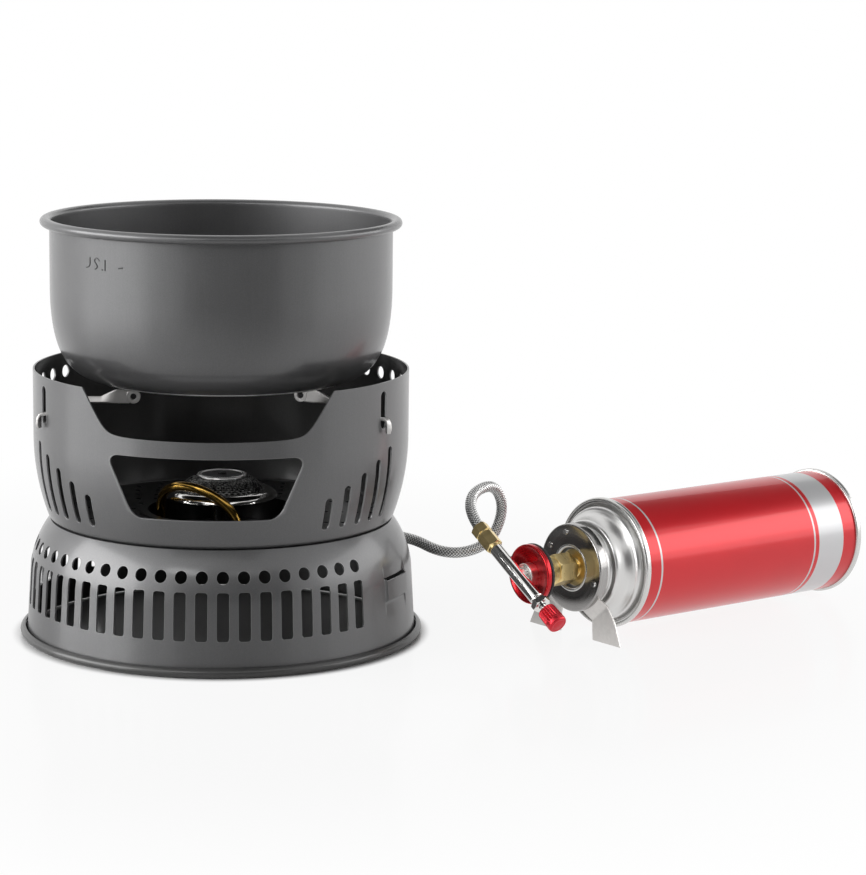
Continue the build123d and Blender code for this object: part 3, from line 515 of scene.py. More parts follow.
# Windscreen
# Spun aluminium bowl of the same dark finish that stands on the base by a lip and
# a spigot: rim notch, window, louvre slots, support slots and a row of rim holes.
screen_r = 96.75
rim_z = 139.0
straight_z = 104.0
spigot_r = 82.8
spigot_low = 57.0
lip_step_r = (84.0, 85.2)
screen_tuck = 2.2
bowl_out = screen_r - base_top_r
bowl_r = (bowl_out ** 2 + (straight_z - base_h) ** 2) / (2 * bowl_out)


def screen_radius(z):
    """Straight above, below an arc that draws in to the base's top and tucks under at its end."""
    drop = np.clip(straight_z - z, 0, None)
    tuck = screen_tuck * np.clip(1 - (z - base_h) / screen_tuck, 0, None) ** 2
    return screen_r - bowl_r + np.sqrt(bowl_r ** 2 - drop ** 2) - tuck


# Stretches of wall: from and to in degrees, and the number of columns.
screen_zones = ((-35.8, 35.8, 84), (35.8, 69.8, 40), (69.8, 86.85, 18), (86.85, 273.15, 184),
                (273.15, 290.2, 18), (290.2, 324.2, 40))
screen_deg = np.concatenate([np.linspace(*zone, endpoint=False) for zone in screen_zones])
louvre_rows_z = 66.5
bar_top_z = 111.0
low_z = np.concatenate([np.linspace(base_h, louvre_rows_z, 13),
                        np.linspace(louvre_rows_z, bar_top_z, 27)[1:]])
high_share = np.linspace(0, 1, 21)[1:]
notch_z = 115.9
notch_half_low = 50.0
notch_run = 12.6
notch_slope = (rim_z - notch_z) / notch_run
notch_round = 4.2
reach = np.abs(screen_r * np.sin(np.radians(screen_deg))) - notch_half_low
rise = notch_slope * 0.5 * (reach + np.sqrt(reach ** 2 + notch_round ** 2))
in_front = np.cos(np.radians(screen_deg)) > 0
top_z = np.where(in_front, np.minimum(notch_z + rise, rim_z), rim_z)
foot_r = np.array([spigot_r, spigot_r, spigot_r, *lip_step_r])
foot_z = np.array([spigot_low, 0.5 * (spigot_low + base_h), base_h, base_h, base_h])
lower = np.repeat(np.concatenate([foot_z, low_z])[:, None], len(screen_deg), 1)
screen_heights = np.concatenate([lower, low_z[-1] + high_share[:, None] * (top_z - low_z[-1])])
screen_radii = np.concatenate([np.repeat(foot_r[:, None], len(screen_deg), 1),
                               screen_radius(screen_heights[len(foot_r):])])
plain_z = np.concatenate([low_z, low_z[-1] + high_share * (rim_z - low_z[-1])])
screen_grid = (screen_deg, plain_z, len(foot_r))
slot_rest = 0.01
window_z = np.array([76.5, 107.6])
window_half_low = 36.0
window_half_high = 49.3
window_half = ((window_half_low + window_half_high) / 2, (window_z[1] - window_z[0]) / 2)
window_lean = (window_half_high - window_half_low) / (window_half_high + window_half_low)
window_corner = 5.6
window_reach_deg = 33.2
window_rows_z = (73.4, bar_top_z)
screen_holes = [hole(screen_grid, 0.0, window_reach_deg, window_rows_z, window_z.mean(), window_half,
                     window_corner, window_lean)]
louvre_first = 39.2
louvre_pitch = 6.8
louvre_count = 5
louvre_low = 68.5
louvre_top = 85.0
louvre_step = 5.1
louvre_half_w = 2.2
louvre_over = 2.6
for k in range(louvre_count):
    louvre_high = louvre_top + k * louvre_step
    louvre_half = (louvre_half_w, (louvre_high - louvre_low) / 2)
    for d in (louvre_first + k * louvre_pitch, -louvre_first - k * louvre_pitch):
        screen_holes.append(hole(screen_grid, d, louvre_pitch / 2, (louvre_rows_z, louvre_high + louvre_over),
                                 (louvre_low + louvre_high) / 2, louvre_half, louvre_half_w - slot_rest))
support_degs = (-62.0, 62.0, 180.0)
support_slot_half = (2.65, 9.45)
support_slot_z = 124.95
support_reach_deg = 3.9
support_rows_z = (112.4, 137.6)
for d in support_degs:
    screen_holes.append(hole(screen_grid, d, support_reach_deg, support_rows_z, support_slot_z,
                             support_slot_half, support_slot_half[0] - slot_rest))
rim_pitch = 8.1
rim_pairs = 11
rim_hole_r = 3.2
rim_hole_z = 128.8
rim_rows_z = (123.6, 134.8)
for k in range(1, rim_pairs + 1):
    for d in (180 + k * rim_pitch, 180 - k * rim_pitch):
        screen_holes.append(hole(screen_grid, d, rim_pitch / 2, rim_rows_z, rim_hole_z,
                                 (rim_hole_r, rim_hole_r), rim_hole_r - round_rest))
points, quads, edge = punched_shell(np.radians(screen_deg), screen_radii, screen_heights, screen_holes,
                                    screen_radius)
screen_piece = new_piece("windscreen_wall", points, quads, dark_anodised, "windscreen",
                         "windscreen_shell", merge=False, crease=60, held={"punched_edge": edge})
# Its inner side takes the same darker finish, painted shade.
sheet_metal(screen_piece, sheet_wall, inside=painted_shade_inside)


# Pot
# Deep-drawn aluminium pot of the same finish with a rolled rim; its flat bottom
# ends in a thin edge that is rubbed bright where it slides on the supports.
def arc_points(centre, radii, start_deg, end_deg, count):
    """Points on an ellipse from one angle to another."""
    turn = np.radians(np.linspace(start_deg, end_deg, count))
    return np.asarray(centre) + np.stack([np.cos(turn) * radii[0], np.sin(turn) * radii[1]], -1)


def curve_points(a, bend, b, count):
    """Points on the parabola that leaves a towards bend and reaches b from bend."""
    share = np.linspace(0, 1, count)[:, None]
    first, second, third = (np.asarray(point, float) for point in (a, bend, b))
    return (1 - share) ** 2 * first + 2 * share * (1 - share) * second + share ** 2 * third


def eased(corners, radius, steps=4):
    """Rounds the corners of a closed profile: each is cut back by a radius, or by a share
    of its shorter side, and bridged by a parabola."""
    corners = np.asarray(corners, float)
    before = np.roll(corners, 1, 0) - corners
    after = np.roll(corners, -1, 0) - corners
    before_length = np.linalg.norm(before, axis=1)
    after_length = np.linalg.norm(after, axis=1)
    cut = np.minimum(radius, 0.42 * np.minimum(before_length, after_length))
    start = corners + before * (cut / before_length)[:, None]
    end = corners + after * (cut / after_length)[:, None]
    share = np.linspace(0, 1, steps + 1)[:, None, None]
    bridge = (1 - share) ** 2 * start + 2 * share * (1 - share) * corners + share ** 2 * end
    return bridge.transpose(1, 0, 2).reshape(-1, 2)


def full_turn(count):
    """Even angles round one full turn."""
    return np.linspace(0, 2 * np.pi, count, endpoint=False)


def lathe(radius, along, count=128, origin=(0, 0, 0), axes=np.eye(3)):
    """A profile turned about an axis: each of its points runs round a circle in the plane of
    the first two axes and stands at its height along the third. The radius is a list, or a
    grid of profile point by angle."""
    turn = full_turn(count)
    axes = np.asarray(axes, float)
    ring = np.cos(turn)[:, None] * axes[0] + np.sin(turn)[:, None] * axes[1]
    radius = np.asarray(radius, float)
    radius = radius[:, None] if radius.ndim == 1 else radius
    return np.asarray(origin) + radius[..., None] * ring + np.asarray(along)[:, None, None] * axes[2]


def cell_corners(grid):
    """The four corners of every cell of a grid."""
    return np.stack([grid[:-1, :-1], grid[:-1, 1:], grid[1:, 1:], grid[1:, :-1]], -1)


def grid_piece(name, grid, finish, body, slot, node=None, loop=True, crease=35.0, held=None):
    """A piece from a grid whose columns close round; loop closes its rows too. Its UV map
    runs round the piece and along the profile, in metres."""
    rows, cols = grid.shape[:2]
    index = np.arange(rows * cols).reshape(rows, cols)
    closed = np.concatenate([grid, grid[:1]]) if loop else grid
    step = np.linalg.norm(np.diff(closed, axis=0), axis=2).mean(1)
    length = np.concatenate([[0], np.cumsum(step)]) * mm
    girth = np.linalg.norm(np.roll(grid, -1, 1) - grid, axis=2).sum(1).max() * mm
    index = np.vstack([index, index[:1]]) if loop else index
    index = np.hstack([index, index[:, :1]])
    u, v = np.meshgrid(np.linspace(0, girth, cols + 1), length)
    uv = np.stack([cell_corners(u), cell_corners(v)], -1)
    return new_piece(name, grid.reshape(-1, 3), cell_corners(index).reshape(-1, 4), finish, body, node,
                     crease=crease, uv=uv, held=held)


def turned_piece(name, shape, finish, body, slot, node=None, count=128, place=(), **options):
    """A piece lathed from radii and heights about the stove's axis, or about a place's origin and axes."""
    return grid_piece(name, lathe(*shape, count, *place), finish, body, slot, node, **options)


pot_r = 87.7
pot_wall = 1.0
pot_low = 133.6
belly_z = 180.6
corner_at = np.array([82.2, 147.0])
rim_mid = (89.6, 214.2)
rim_half = (2.9, 2.35)
inner_r = pot_r - pot_wall
pot_profile = np.concatenate([
    [(0, pot_low), (40.0, pot_low), (62.8, pot_low)],
    curve_points((64.2, pot_low + 0.9), (75.6, pot_low + 0.9), corner_at, 22),
    curve_points(corner_at, (pot_r, 158.4), (pot_r, belly_z), 22)[1:],
    np.stack([np.full(8, pot_r), np.linspace(belly_z, 211.6, 9)[1:]], -1),
    arc_points(rim_mid, rim_half, -131, 180, 26),
    np.stack([np.full(8, inner_r), np.linspace(213.0, belly_z, 8)], -1),
    curve_points((inner_r, belly_z), (inner_r, 158.8), corner_at - (pot_wall, -0.3), 22)[1:],
    curve_points(corner_at - (pot_wall, -0.3), (75.4, pot_low + 1.9), (63.8, pot_low + 1.9), 22)[1:],
    [(60.0, pot_low + pot_wall), (30.0, pot_low + pot_wall), (0, pot_low + pot_wall)]])
turned_piece("pot_wall", pot_profile.T, dark_anodised, "pot", "dark_aluminium", "pot_shell", 256, loop=False)


def bright_metal(name, colour, rough=(0.16, 0.26), shade=0.82, grain=1100.0, stretch=(0.02, 1, 1),
                 depth=0.00002, mapped="UV"):
    """Bare metal: noise drawn out along the UV map's first axis, or even on Object
    coordinates, drifts its colour to a darker shade, sets its gloss and gives tool lines."""
    finish, tree, shader, source = new_finish(name, 1.0)
    lines = noise_of(tree, source[mapped], grain, 4.0, stretch)
    soil = noise_of(tree, source["Object"], 160.0)
    darker = tuple(shade * part for part in colour)
    skin = blended(tree, ranged(tree, lines), darker, colour)
    skin = blended(tree, ranged(tree, soil, 0.0, 0.35), skin, darker)
    painted(tree, shader, skin, ranged(tree, lines, *rough))
    bumped(tree, lines, shader, depth, 0.4)
    return finish


rubbed_aluminium = bright_metal("rubbed_aluminium", (0.92, 0.92, 0.92), (0.36, 0.46), 0.9)
edge_mid = (64.4, pot_low + 0.9)
edge_half = (1.3, 0.9)
edge_profile = arc_points(edge_mid, edge_half, 0, 330, 12)
turned_piece("pot_bottom_edge", edge_profile.T, rubbed_aluminium, "pot", "dark_aluminium", count=256)


# Volume mark
# A number, its litre sign and a tick pressed into the pot's wall from inside, so that
# they show reversed outside and their thin strokes stand a fraction of a millimetre proud.
def travelled(points):
    """Distance along a line from its start to each of its points."""
    return np.concatenate([[0], np.cumsum(np.linalg.norm(np.diff(points, axis=0), axis=1))])


def along_line(points, count):
    """Points and two square directions at even steps along a line; the first square
    direction is carried forward with no twist by projecting it at every step."""
    steps = travelled(points)
    where = np.linspace(0, steps[-1], count)
    even = np.stack([np.interp(where, steps, points[:, k]) for k in range(3)], -1)
    forward = np.gradient(even, axis=0)
    forward /= np.linalg.norm(forward, axis=1)[:, None]
    across = np.empty_like(even)
    start = np.cross(forward[0], (0.0, 0.3, 1.0))
    across[0] = start / np.linalg.norm(start)
    for k in range(1, count):
        carried = across[k - 1] - forward[k] * (across[k - 1] @ forward[k])
        across[k] = carried / np.linalg.norm(carried)
    return even, across, np.cross(forward, across), where


def capped(centres, rings):
    """Rings about a line of centres, closed by the centre at each end."""
    caps = np.repeat(centres[[0, -1], None], rings.shape[1], 1)
    return np.concatenate([caps[:1], rings, caps[1:]])


def tube(centres, first, second, radius, count):
    """Capped rings of a radius, which may change from ring to ring and round each ring, in the
    plane of two directions."""
    turn = full_turn(count)[None, :, None]
    radius = np.broadcast_to(radius, (len(centres), count))[..., None]
    outward = np.cos(turn) * first[:, None] + np.sin(turn) * second[:, None]
    return capped(centres, centres[:, None] + radius * outward)


mark_turn = math.radians(-43.0)
mark_z = 196.2
stroke_r = 0.34
strokes = (((1.2, 5.9), (1.2, 2.6), (0.8, 1.7), (-0.2, 1.1), (-1.6, 0.8)),
           ((7.9, 4.5), (7.4, 5.4), (6.2, 5.9), (5.0, 5.6), (4.5, 4.6),
            (5.0, 3.6), (6.0, 2.8), (6.5, 1.8), (6.0, 0.9), (4.8, 0.5)),
           ((9.85, 0.1), (9.85, 0.8)),
           ((11.75, 5.5), (11.75, 0.0)),
           ((20.2, 1.9), (22.7, 2.3)))
# The strokes are coloured darker than the wall.
dark_stroke_finish = anodised_finish("pressed_mark", (0.03, 0.03, 0.031), (0.05, 0.05, 0.051))
for number, stroke in enumerate(strokes):
    flat = np.array(stroke)
    line = polar(mark_turn + flat[:, 0] / pot_r, pot_r, mark_z + flat[:, 1])
    raised = tube(*along_line(line, 30)[:3], stroke_r, 8)
    grid_piece(f"volume_mark_{number}", raised, dark_stroke_finish, "pot", "dark_aluminium", loop=False)


# Pot supports
# Three stamped stainless strips: hooked through the windscreen's slots, twisted on
# edge inside, where they carry the pot, and pierced with an eye at the end.
def even_metal(name, colour, rough, shade, grain, depth=0.00002):
    """Bare metal with no tool lines: its grain is even on Object coordinates."""
    return bright_metal(name, colour, rough, shade, grain, (1, 1, 1), depth, "Object")


stainless = even_metal("brushed_stainless", (0.52, 0.51, 0.5), (0.38, 0.46), 0.93, 700.0, 0.000003)
pivot_r = screen_r - sheet_wall / 2
pivot_z = 119.6
support_skews = {"left": 26.0, "right": -9.0, "rear": 0.0}
strip_t = 1.5
# Along the strip: distance in from the pivot, height over it, width and twist in degrees.
strip_rows = np.array([
    (-2.9, -6.4, 2.2, -40), (-3.2, -4.2, 3.2, -34), (-3.0, -1.6, 3.4, -22), (-2.4, 0.1, 3.4, -8),
    (-1.2, 0.75, 3.4, 0), (2.5, 0.75, 3.4, 0), (5.0, 1.6, 3.4, 6), (9.0, 4.6, 3.4, 30),
    (13.0, 7.4, 3.4, 52), (16.0, 8.2, 3.4, 60), (28.5, 8.3, 3.4, 64), (36.5, 10.1, 7.2, 88),
    (42.5, 10.1, 7.0, 90)])
strip_path = np.column_stack([strip_rows[:, :2], np.zeros(len(strip_rows))])
strip_line, _, _, strip_s = along_line(strip_path, 90)
strip_w = np.interp(strip_s, travelled(strip_path), strip_rows[:, 2])[:, None, None]
strip_twist = np.radians(np.interp(strip_s, travelled(strip_path), strip_rows[:, 3]))[:, None]
section_squareness = 0.3
section_turn = full_turn(20)
section_round = np.stack([np.cos(section_turn), np.sin(section_turn)], -1)
section = np.sign(section_round) * np.abs(section_round) ** section_squareness / 2
eye_in = 44.5
eye_up = 10.1
eye_r = 3.6
eye_hole_r = 1.5
eye_half_t = 0.85
eye_profile = eased([(eye_hole_r, -eye_half_t), (eye_r, -eye_half_t), (eye_r, eye_half_t),
                     (eye_hole_r, eye_half_t)], radius=0.4)
for (side, skew), deg in zip(support_skews.items(), support_degs):
    inward = math.radians(deg + 180 - skew)
    arm_in = polar(inward, 1.0, 0.0)
    arm_side = polar(inward + math.pi / 2, 1.0, 0.0)
    pivot = polar(math.radians(deg), pivot_r, pivot_z)
    centre = pivot + strip_line[:, :1] * arm_in + strip_line[:, 1:2] * upward
    forward = np.gradient(centre, axis=0)
    forward /= np.linalg.norm(forward, axis=1)[:, None]
    wide = np.cos(strip_twist) * arm_side + np.sin(strip_twist) * np.cross(forward, arm_side)
    thick = np.cross(forward, wide)
    rings = (centre[:, None] + strip_w * section[None, :, :1] * wide[:, None]
             + strip_t * section[None, :, 1:] * thick[:, None])
    grid_piece(f"support_strip_{side}", capped(centre, rings), stainless, f"support_{side}", "stainless",
               f"pot_support_{side}", loop=False)
    eye_place = (pivot + eye_in * arm_in + eye_up * upward, (arm_in, upward, arm_side))
    turned_piece(f"support_eye_{side}", eye_profile.T, stainless, f"support_{side}", "stainless",
                 count=48, place=eye_place)


# Tray and housing
# Loose perforated disc on the windscreen's lip, anodised dark, with the burner's
# stamped steel housing hung in its bore and blackened by the flame.
def dressed(finish, *node_names):
    """Gives CAD nodes a finish."""
    for node_name in node_names:
        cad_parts[node_name].data.materials[0] = finish


sooted_steel = anodised_finish("sooted_steel", (0.02, 0.02, 0.021), (0.04, 0.04, 0.041), (0.3, 0.45))
dressed(sooted_steel, "perforated_tray", "burner_housing", "jet_block", "burner_cap")

# Burner cup and mixing tube
# Bright pressed cup on a plated mixing tube; the nut under it holds the tube in
# the housing's floor.
polished_nickel = bright_metal("polished_nickel", (0.82, 0.81, 0.79), (0.06, 0.13), 0.9)
nickel_plate = even_metal("nickel_plate", (0.76, 0.75, 0.74), (0.1, 0.2), 0.86, 900.0)
dressed(nickel_plate, "mixing_tube", "mixing_nut", "plate_rivets", "valve_spindle")
cup_profile = eased([(5.6, 70.2), (20.0, 70.2), (20.6, 74.9), (22.2, 75.3), (26.0, 74.7), (28.3, 73.2),
                     (29.1, 71.3), (28.4, 71.2), (27.6, 72.4), (25.8, 73.6), (21.8, 74.2), (21.2, 69.5),
                     (5.6, 69.5)], radius=1.2)
turned_piece("burner_saucer", cup_profile.T, polished_nickel, "stove_base", "chrome", "burner_cup")

# Burner head
# Pressed steel dome closely pierced with flame ports, heat-darkened between them,
# with a polished rolled ring on its top edge.
head_low = (21.9, 75.2)
head_mid = (17.9, 79.3)
head_top = (12.9, 81.3)
head_centre, head_round = circle_through(head_low, head_mid, head_top)
head_from, head_to = (math.atan2(end[1] - head_centre[1], end[0] - head_centre[0])
                      for end in (head_low, head_top))
port_rows = 9
port_cols = 44
port_cells = 10
port_squeeze = 0.9
port_edge = (0.24, 0.36)
port_depth = 0.55
head_t = np.linspace(0, 1, port_rows * port_cells + 1)
head_angle = head_from + head_t * (head_to - head_from)
around = full_turn(port_cols * port_cells)
row_wave = head_t[:, None] * port_rows
col_wave = around[None] / (2 * np.pi) * port_cols + 0.5 * (np.floor(row_wave) % 2)
port_gap = np.hypot(row_wave % 1 - 0.5, port_squeeze * (col_wave % 1 - 0.5))
port = 1 - smooth_step(port_gap, *port_edge)
dome_round = head_round - port_depth * port
dome_radius = head_centre[0] + dome_round * np.cos(head_angle)[:, None]
dome_height = head_centre[1] + dome_round * np.sin(head_angle)[:, None]
dome = np.stack([dome_radius * np.cos(around), dome_radius * np.sin(around), dome_height], -1)
skirt_r = 20.4
skirt_z = (70.5, 74.6)
head_inner_r = [12.0, 12.0, 18.6, 18.6]
head_inner_z = [81.0, 80.2, 75.0, skirt_z[0]]
foot_ring = lathe([skirt_r, skirt_r], skirt_z, len(around))
head_inner = lathe(head_inner_r, head_inner_z, len(around))
head_grid = np.concatenate([foot_ring, dome, head_inner])
padded_port = np.concatenate([np.zeros(foot_ring.shape[:2]), port, np.zeros(head_inner.shape[:2])])
head_finish, tree, shader, source = new_finish("pierced_steel", 1.0)
tint = noise_of(tree, source["Object"], 300.0)
land = blended(tree, ranged(tree, tint), (0.05, 0.05, 0.05), (0.34, 0.34, 0.33))
# Painted shade: the port dimples are painted near-black for the dark inside of the flame ports.
skin = blended(tree, held_value(tree, "port"), land, (0.006, 0.006, 0.006))
painted(tree, shader, skin, ranged(tree, tint, 0.16, 0.34))
grid_piece("pierced_dome", head_grid, head_finish, "stove_base", "burner_steel", "burner_head", crease=60,
           held={"port": padded_port})
ring_profile = eased([(9.3, 80.8), (12.8, 80.8), (13.3, 81.6), (12.9, 82.6), (11.6, 82.9), (9.7, 82.2),
                      (9.2, 81.4)], radius=0.6)
ring_steel = bright_metal("ring_steel", (0.92, 0.91, 0.9), (0.24, 0.34), 0.92)
turned_piece("flame_collar", ring_profile.T, ring_steel, "stove_base", "chrome", "flame_ring")


# Preheat tube
# Bent brass tube that carries the gas over the edge of the flame, tinted brown by
# its heat; union nuts hold its feet on the housing's floor.
def nurbs_points(name, route, steps):
    """Points in millimetres along the NURBS line of order 3 whose control points are a route."""
    line = bpy.data.curves.new(name, "CURVE")
    line.dimensions = "3D"
    line.resolution_u = steps
    spline = line.splines.new("NURBS")
    spline.points.add(len(route) - 1)
    spline.points.foreach_set("co", np.column_stack([np.asarray(route) * mm, np.ones(len(route))]).ravel())
    spline.order_u = 3
    spline.use_endpoint_u = True
    holder = bpy.data.objects.new(name, line)
    scene.collection.objects.link(holder)
    mesh = bpy.data.meshes.new_from_object(holder.evaluated_get(bpy.context.evaluated_depsgraph_get()))
    flat = np.empty(len(mesh.vertices) * 3)
    mesh.vertices.foreach_get("co", flat)
    bpy.data.objects.remove(holder)
    bpy.data.meshes.remove(mesh)
    return flat.reshape(-1, 3) / mm


milled_brass = even_metal("milled_brass", (0.88, 0.66, 0.27), (0.16, 0.26), 0.84, 700.0, 0.000005)
turned_brass = bright_metal("turned_brass", (0.93, 0.73, 0.35), (0.26, 0.36), 0.9, depth=0.000004)
heated_brass = even_metal("heated_brass", (0.66, 0.4, 0.09), (0.12, 0.2), 0.6, 260.0, 0.000003)
dressed(milled_brass, "tube_unions", "burner_ferrule", "can_stem")
preheat_d = 4.7
preheat_route = np.array([
    (-30.6, -11, 51), (-30.6, -11, 62), (-30.6, -12, 70), (-27.4, -18.6, 77.2), (-20, -25.8, 81),
    (-10.6, -29.6, 80.6), (-3, -31, 77.8), (4.5, -32.2, 73), (9.6, -32.6, 67.3), (11.6, -32.6, 61),
    (11.6, -32.6, 51)])
arch_line = along_line(nurbs_points("preheat_line", preheat_route, 30), 160)
arch = tube(*arch_line[:3], preheat_d / 2, 32)
grid_piece("preheat_arch", arch, heated_brass, "stove_base", "brass", "preheat_tube", loop=False, crease=60)

# Gas can
# Tinplate can lacquered red under a clear coat with plain silver bands, closed by
# rolled seams; its stepped dome carries the valve stem.
can_at = np.array([200.06, 9.49, 36.538])
can_yaw, can_tilt = np.radians([40.5, 0.8])
level_front = np.array([-math.cos(can_yaw), -math.sin(can_yaw), 0.0])
can_front = level_front * math.cos(can_tilt) + upward * math.sin(can_tilt)
can_right = np.array([math.sin(can_yaw), -math.cos(can_yaw), 0.0])
can_axes = np.array([can_right, np.cross(can_front, can_right), can_front])
on_can = (can_at, can_axes)
can_r = 33.0
can_top = -1.7
can_low = -157.1
can_length = 158.8
can_sheet = 0.5
lacquer, tree, shader, source = new_finish("red_lacquer", 0.3, Coat_Weight=0.4, Coat_Roughness=0.03)
flake = noise_of(tree, source["Object"], 3000.0)
sweep = noise_of(tree, source["Object"], 22.0)
red = blended(tree, ranged(tree, flake), (0.77, 0.005, 0.013), (0.8, 0.006, 0.016))
red = blended(tree, ranged(tree, sweep, 0.0, 0.3), red, (0.56, 0.002, 0.008))
along_can = added(tree, "SeparateXYZ", {0: source["UV"]}, "Y")
print_edge = 0.00015
silver_bands = ((0.0080, 0.0092), (0.1225, 0.1237), (0.1265, 0.1455))
silver = 0.0
for low, high in silver_bands:
    rise_edge = ranged(tree, along_can, 0.0, 1.0, low, low + print_edge)
    fall_edge = ranged(tree, along_can, 1.0, 0.0, high, high + print_edge)
    silver = combined(tree, "MAXIMUM", silver, combined(tree, "MULTIPLY", rise_edge, fall_edge))
painted(tree, shader, blended(tree, silver, red, (0.72, 0.72, 0.73)), ranged(tree, flake, 0.28, 0.31))
body_profile = np.array([(can_r, can_top), (can_r, -60.0), (can_r, -110.0), (can_r, can_low),
                         (can_r - can_sheet, can_low), (can_r - can_sheet, can_top)])
turned_piece("can_wall", body_profile.T, lacquer, "can", "red_lacquer", "can_body", 160, on_can)
tinplate = bright_metal("tinplate", (0.72, 0.715, 0.7), (0.2, 0.32), 0.8)
seam_r = 34.3
seam_profile = eased([(33.05, -1.9), (34.0, -1.7), (seam_r, -1.0), (seam_r, 0.9), (33.9, 1.7), (33.2, 1.9),
                      (32.6, 1.5), (32.4, 0.4), (32.4, -1.6)], radius=0.5, steps=3)
for seam, shift, sense in (("front", 0.0, 1.0), ("rear", -can_length, -1.0)):
    rim_profile = seam_profile * (1.0, sense) + (0.0, shift)
    turned_piece(f"can_rim_{seam}", rim_profile.T, tinplate, "can", "tinplate", f"can_seam_{seam}",
                 160, on_can)
dome_profile = np.concatenate([
    [(32.3, -1.6), (32.3, 0.7)],
    curve_points((32.3, 0.7), (31.3, 1.3), (31.2, -0.2), 7)[1:],
    curve_points((31.2, -0.2), (31.1, -1.2), (30.5, -0.6), 7)[1:],
    curve_points((30.5, -0.6), (30.2, 3.4), (28.9, 3.8), 12)[1:],
    curve_points((28.9, 3.8), (28.0, 4.0), (27.7, 4.4), 5)[1:],
    curve_points((27.7, 4.4), (24.6, 6.2), (23.9, 11.6), 22)[1:],
    curve_points((23.9, 11.6), (23.7, 13.4), (22.4, 13.4), 8)[1:],
    curve_points((21.2, 13.4), (20.4, 13.5), (20.3, 14.4), 6),
    curve_points((20.3, 16.6), (20.3, 17.4), (19.4, 17.4), 6),
    [(10.0, 17.4), (0.0, 17.4), (0.0, 16.8), (19.0, 16.8), (19.5, 13.0), (22.6, 12.4), (26.4, 4.4),
     (29.4, 1.6), (30.6, -1.6)]])
dome_plate = bright_metal("dome_tinplate", (0.74, 0.735, 0.725), (0.3, 0.38), 0.93, 900.0, depth=0.000003)
turned_piece("can_shoulder", dome_profile.T, dome_plate, "can", "tinplate", "can_dome",
             160, on_can, crease=50)
tinplate_end = even_metal("tinplate_end", (0.7, 0.69, 0.68), (0.22, 0.3), 0.92, 500.0, 0.000004)
dressed(tinplate_end, "can_bottom")

# Stand plate
# Stamped stainless dish that snaps over the can's collar, with two splayed feet cut
# and bent from its skirt; washer and rivets hold it on the adapter.
plate_steel = bright_metal("plate_stainless", (0.42, 0.41, 0.4), (0.12, 0.22), 0.8, 700.0, (0.03, 1, 1))
plate_front = 24.0
plate_back = 18.5
plate_r = 23.0
plate_bore = 10.8
plate_t = 1.2
plate_profile = eased([(plate_bore, plate_front), (plate_r, plate_front), (plate_r, plate_back),
                       (plate_r - plate_t, plate_back), (plate_r - plate_t, plate_front - plate_t),
                       (plate_bore, plate_front - plate_t)], radius=0.9)
turned_piece("stand_dish", plate_profile.T, plate_steel, "stove_base", "stainless", "stand_plate",
             160, on_can)
bore_ring = eased([(10.6, 22.9), (11.0, 22.9), (12.4, 23.9), (12.4, 24.3), (11.6, 24.5),
                   (10.6, 23.8)], radius=0.3)
turned_piece("plate_bore_ring", bore_ring.T, tinplate, "stove_base", "stainless", "plate_washer",
             place=on_can)
# The feet are bent from the dish's own sheet but get a lighter copy of its steel: painted light on the feet.
foot_steel_painted_light = even_metal("foot_stainless_painted_light", (0.72, 0.7, 0.68), (0.4, 0.5), 0.86, 420.0, 0.000005)
foot_y = -(can_at[2] + plate_back * math.sin(can_tilt)) / math.cos(can_tilt)
leg_outer = np.array([(17.0, -12.4), (19.0, -13.8), (22.8, -16.8), (28.4, -24.4), (33.4, foot_y)])
leg_inner = np.array([(7.6, -21.6), (9.2, -23.2), (12.2, -26.4), (12.2, -31.4), (12.6, foot_y)])
leg_lift = np.array([3.0, 2.3, 0.3, 0.1, 0.0])
leg_widen = {"right": np.zeros(5), "left": np.array([0.0, 0.3, 1.2, 2.4, 3.4])}
leg_edge_round = 0.3
leg_known = np.arange(len(leg_lift))
leg_rows = np.linspace(0, leg_known[-1], 33)
leg_cols = np.linspace(0, 1, 13)[None, :, None]
lift = plate_back + np.interp(leg_rows, leg_known, leg_lift)[:, None, None]
index = np.arange(leg_rows.size * leg_cols.size).reshape(leg_rows.size, -1)
cells = cell_corners(index).reshape(-1, 4)
for hand, sign in (("right", 1.0), ("left", -1.0)):
    splayed = leg_outer + leg_widen[hand][:, None] * [1.0, 0.0]
    outer, inner = (np.stack([np.interp(leg_rows, leg_known, side[:, k]) for k in range(2)], -1)[:, None]
                    for side in (splayed, leg_inner))
    flat = inner + leg_cols * (outer - inner)
    leg = can_at + sign * flat[..., :1] * can_axes[0] + flat[..., 1:] * can_axes[1] + lift * can_axes[2]
    leg_piece = new_piece(f"stand_foot_{hand}", leg.reshape(-1, 3), cells[:, ::-1] if sign > 0 else cells,
                          foot_steel_painted_light, "stove_base", merge=False)
    sheet_metal(leg_piece, plate_t, leg_edge_round)


# Adapter
# Brass shank turned from hexagon bar: a hub behind the plate, a neck, the wrench
# hexagon with its chamfers and a grooved nipple for the coupling.
def turned_bar(rows, count=96):
    """Radius grid of a turned bar: each row gives a radius, its place along the bar and, on
    hexagon rows, the width across flats that cuts the round down."""
    rows = np.asarray(rows, float)
    turn = full_turn(count)
    hexagon = 0.5 / np.cos((turn + np.pi / 6) % (np.pi / 3) - np.pi / 6)
    flats = np.where(rows[:, 2:] > 0, rows[:, 2:] * hexagon, np.inf)
    return np.minimum(rows[:, :1], flats), rows[:, 1]


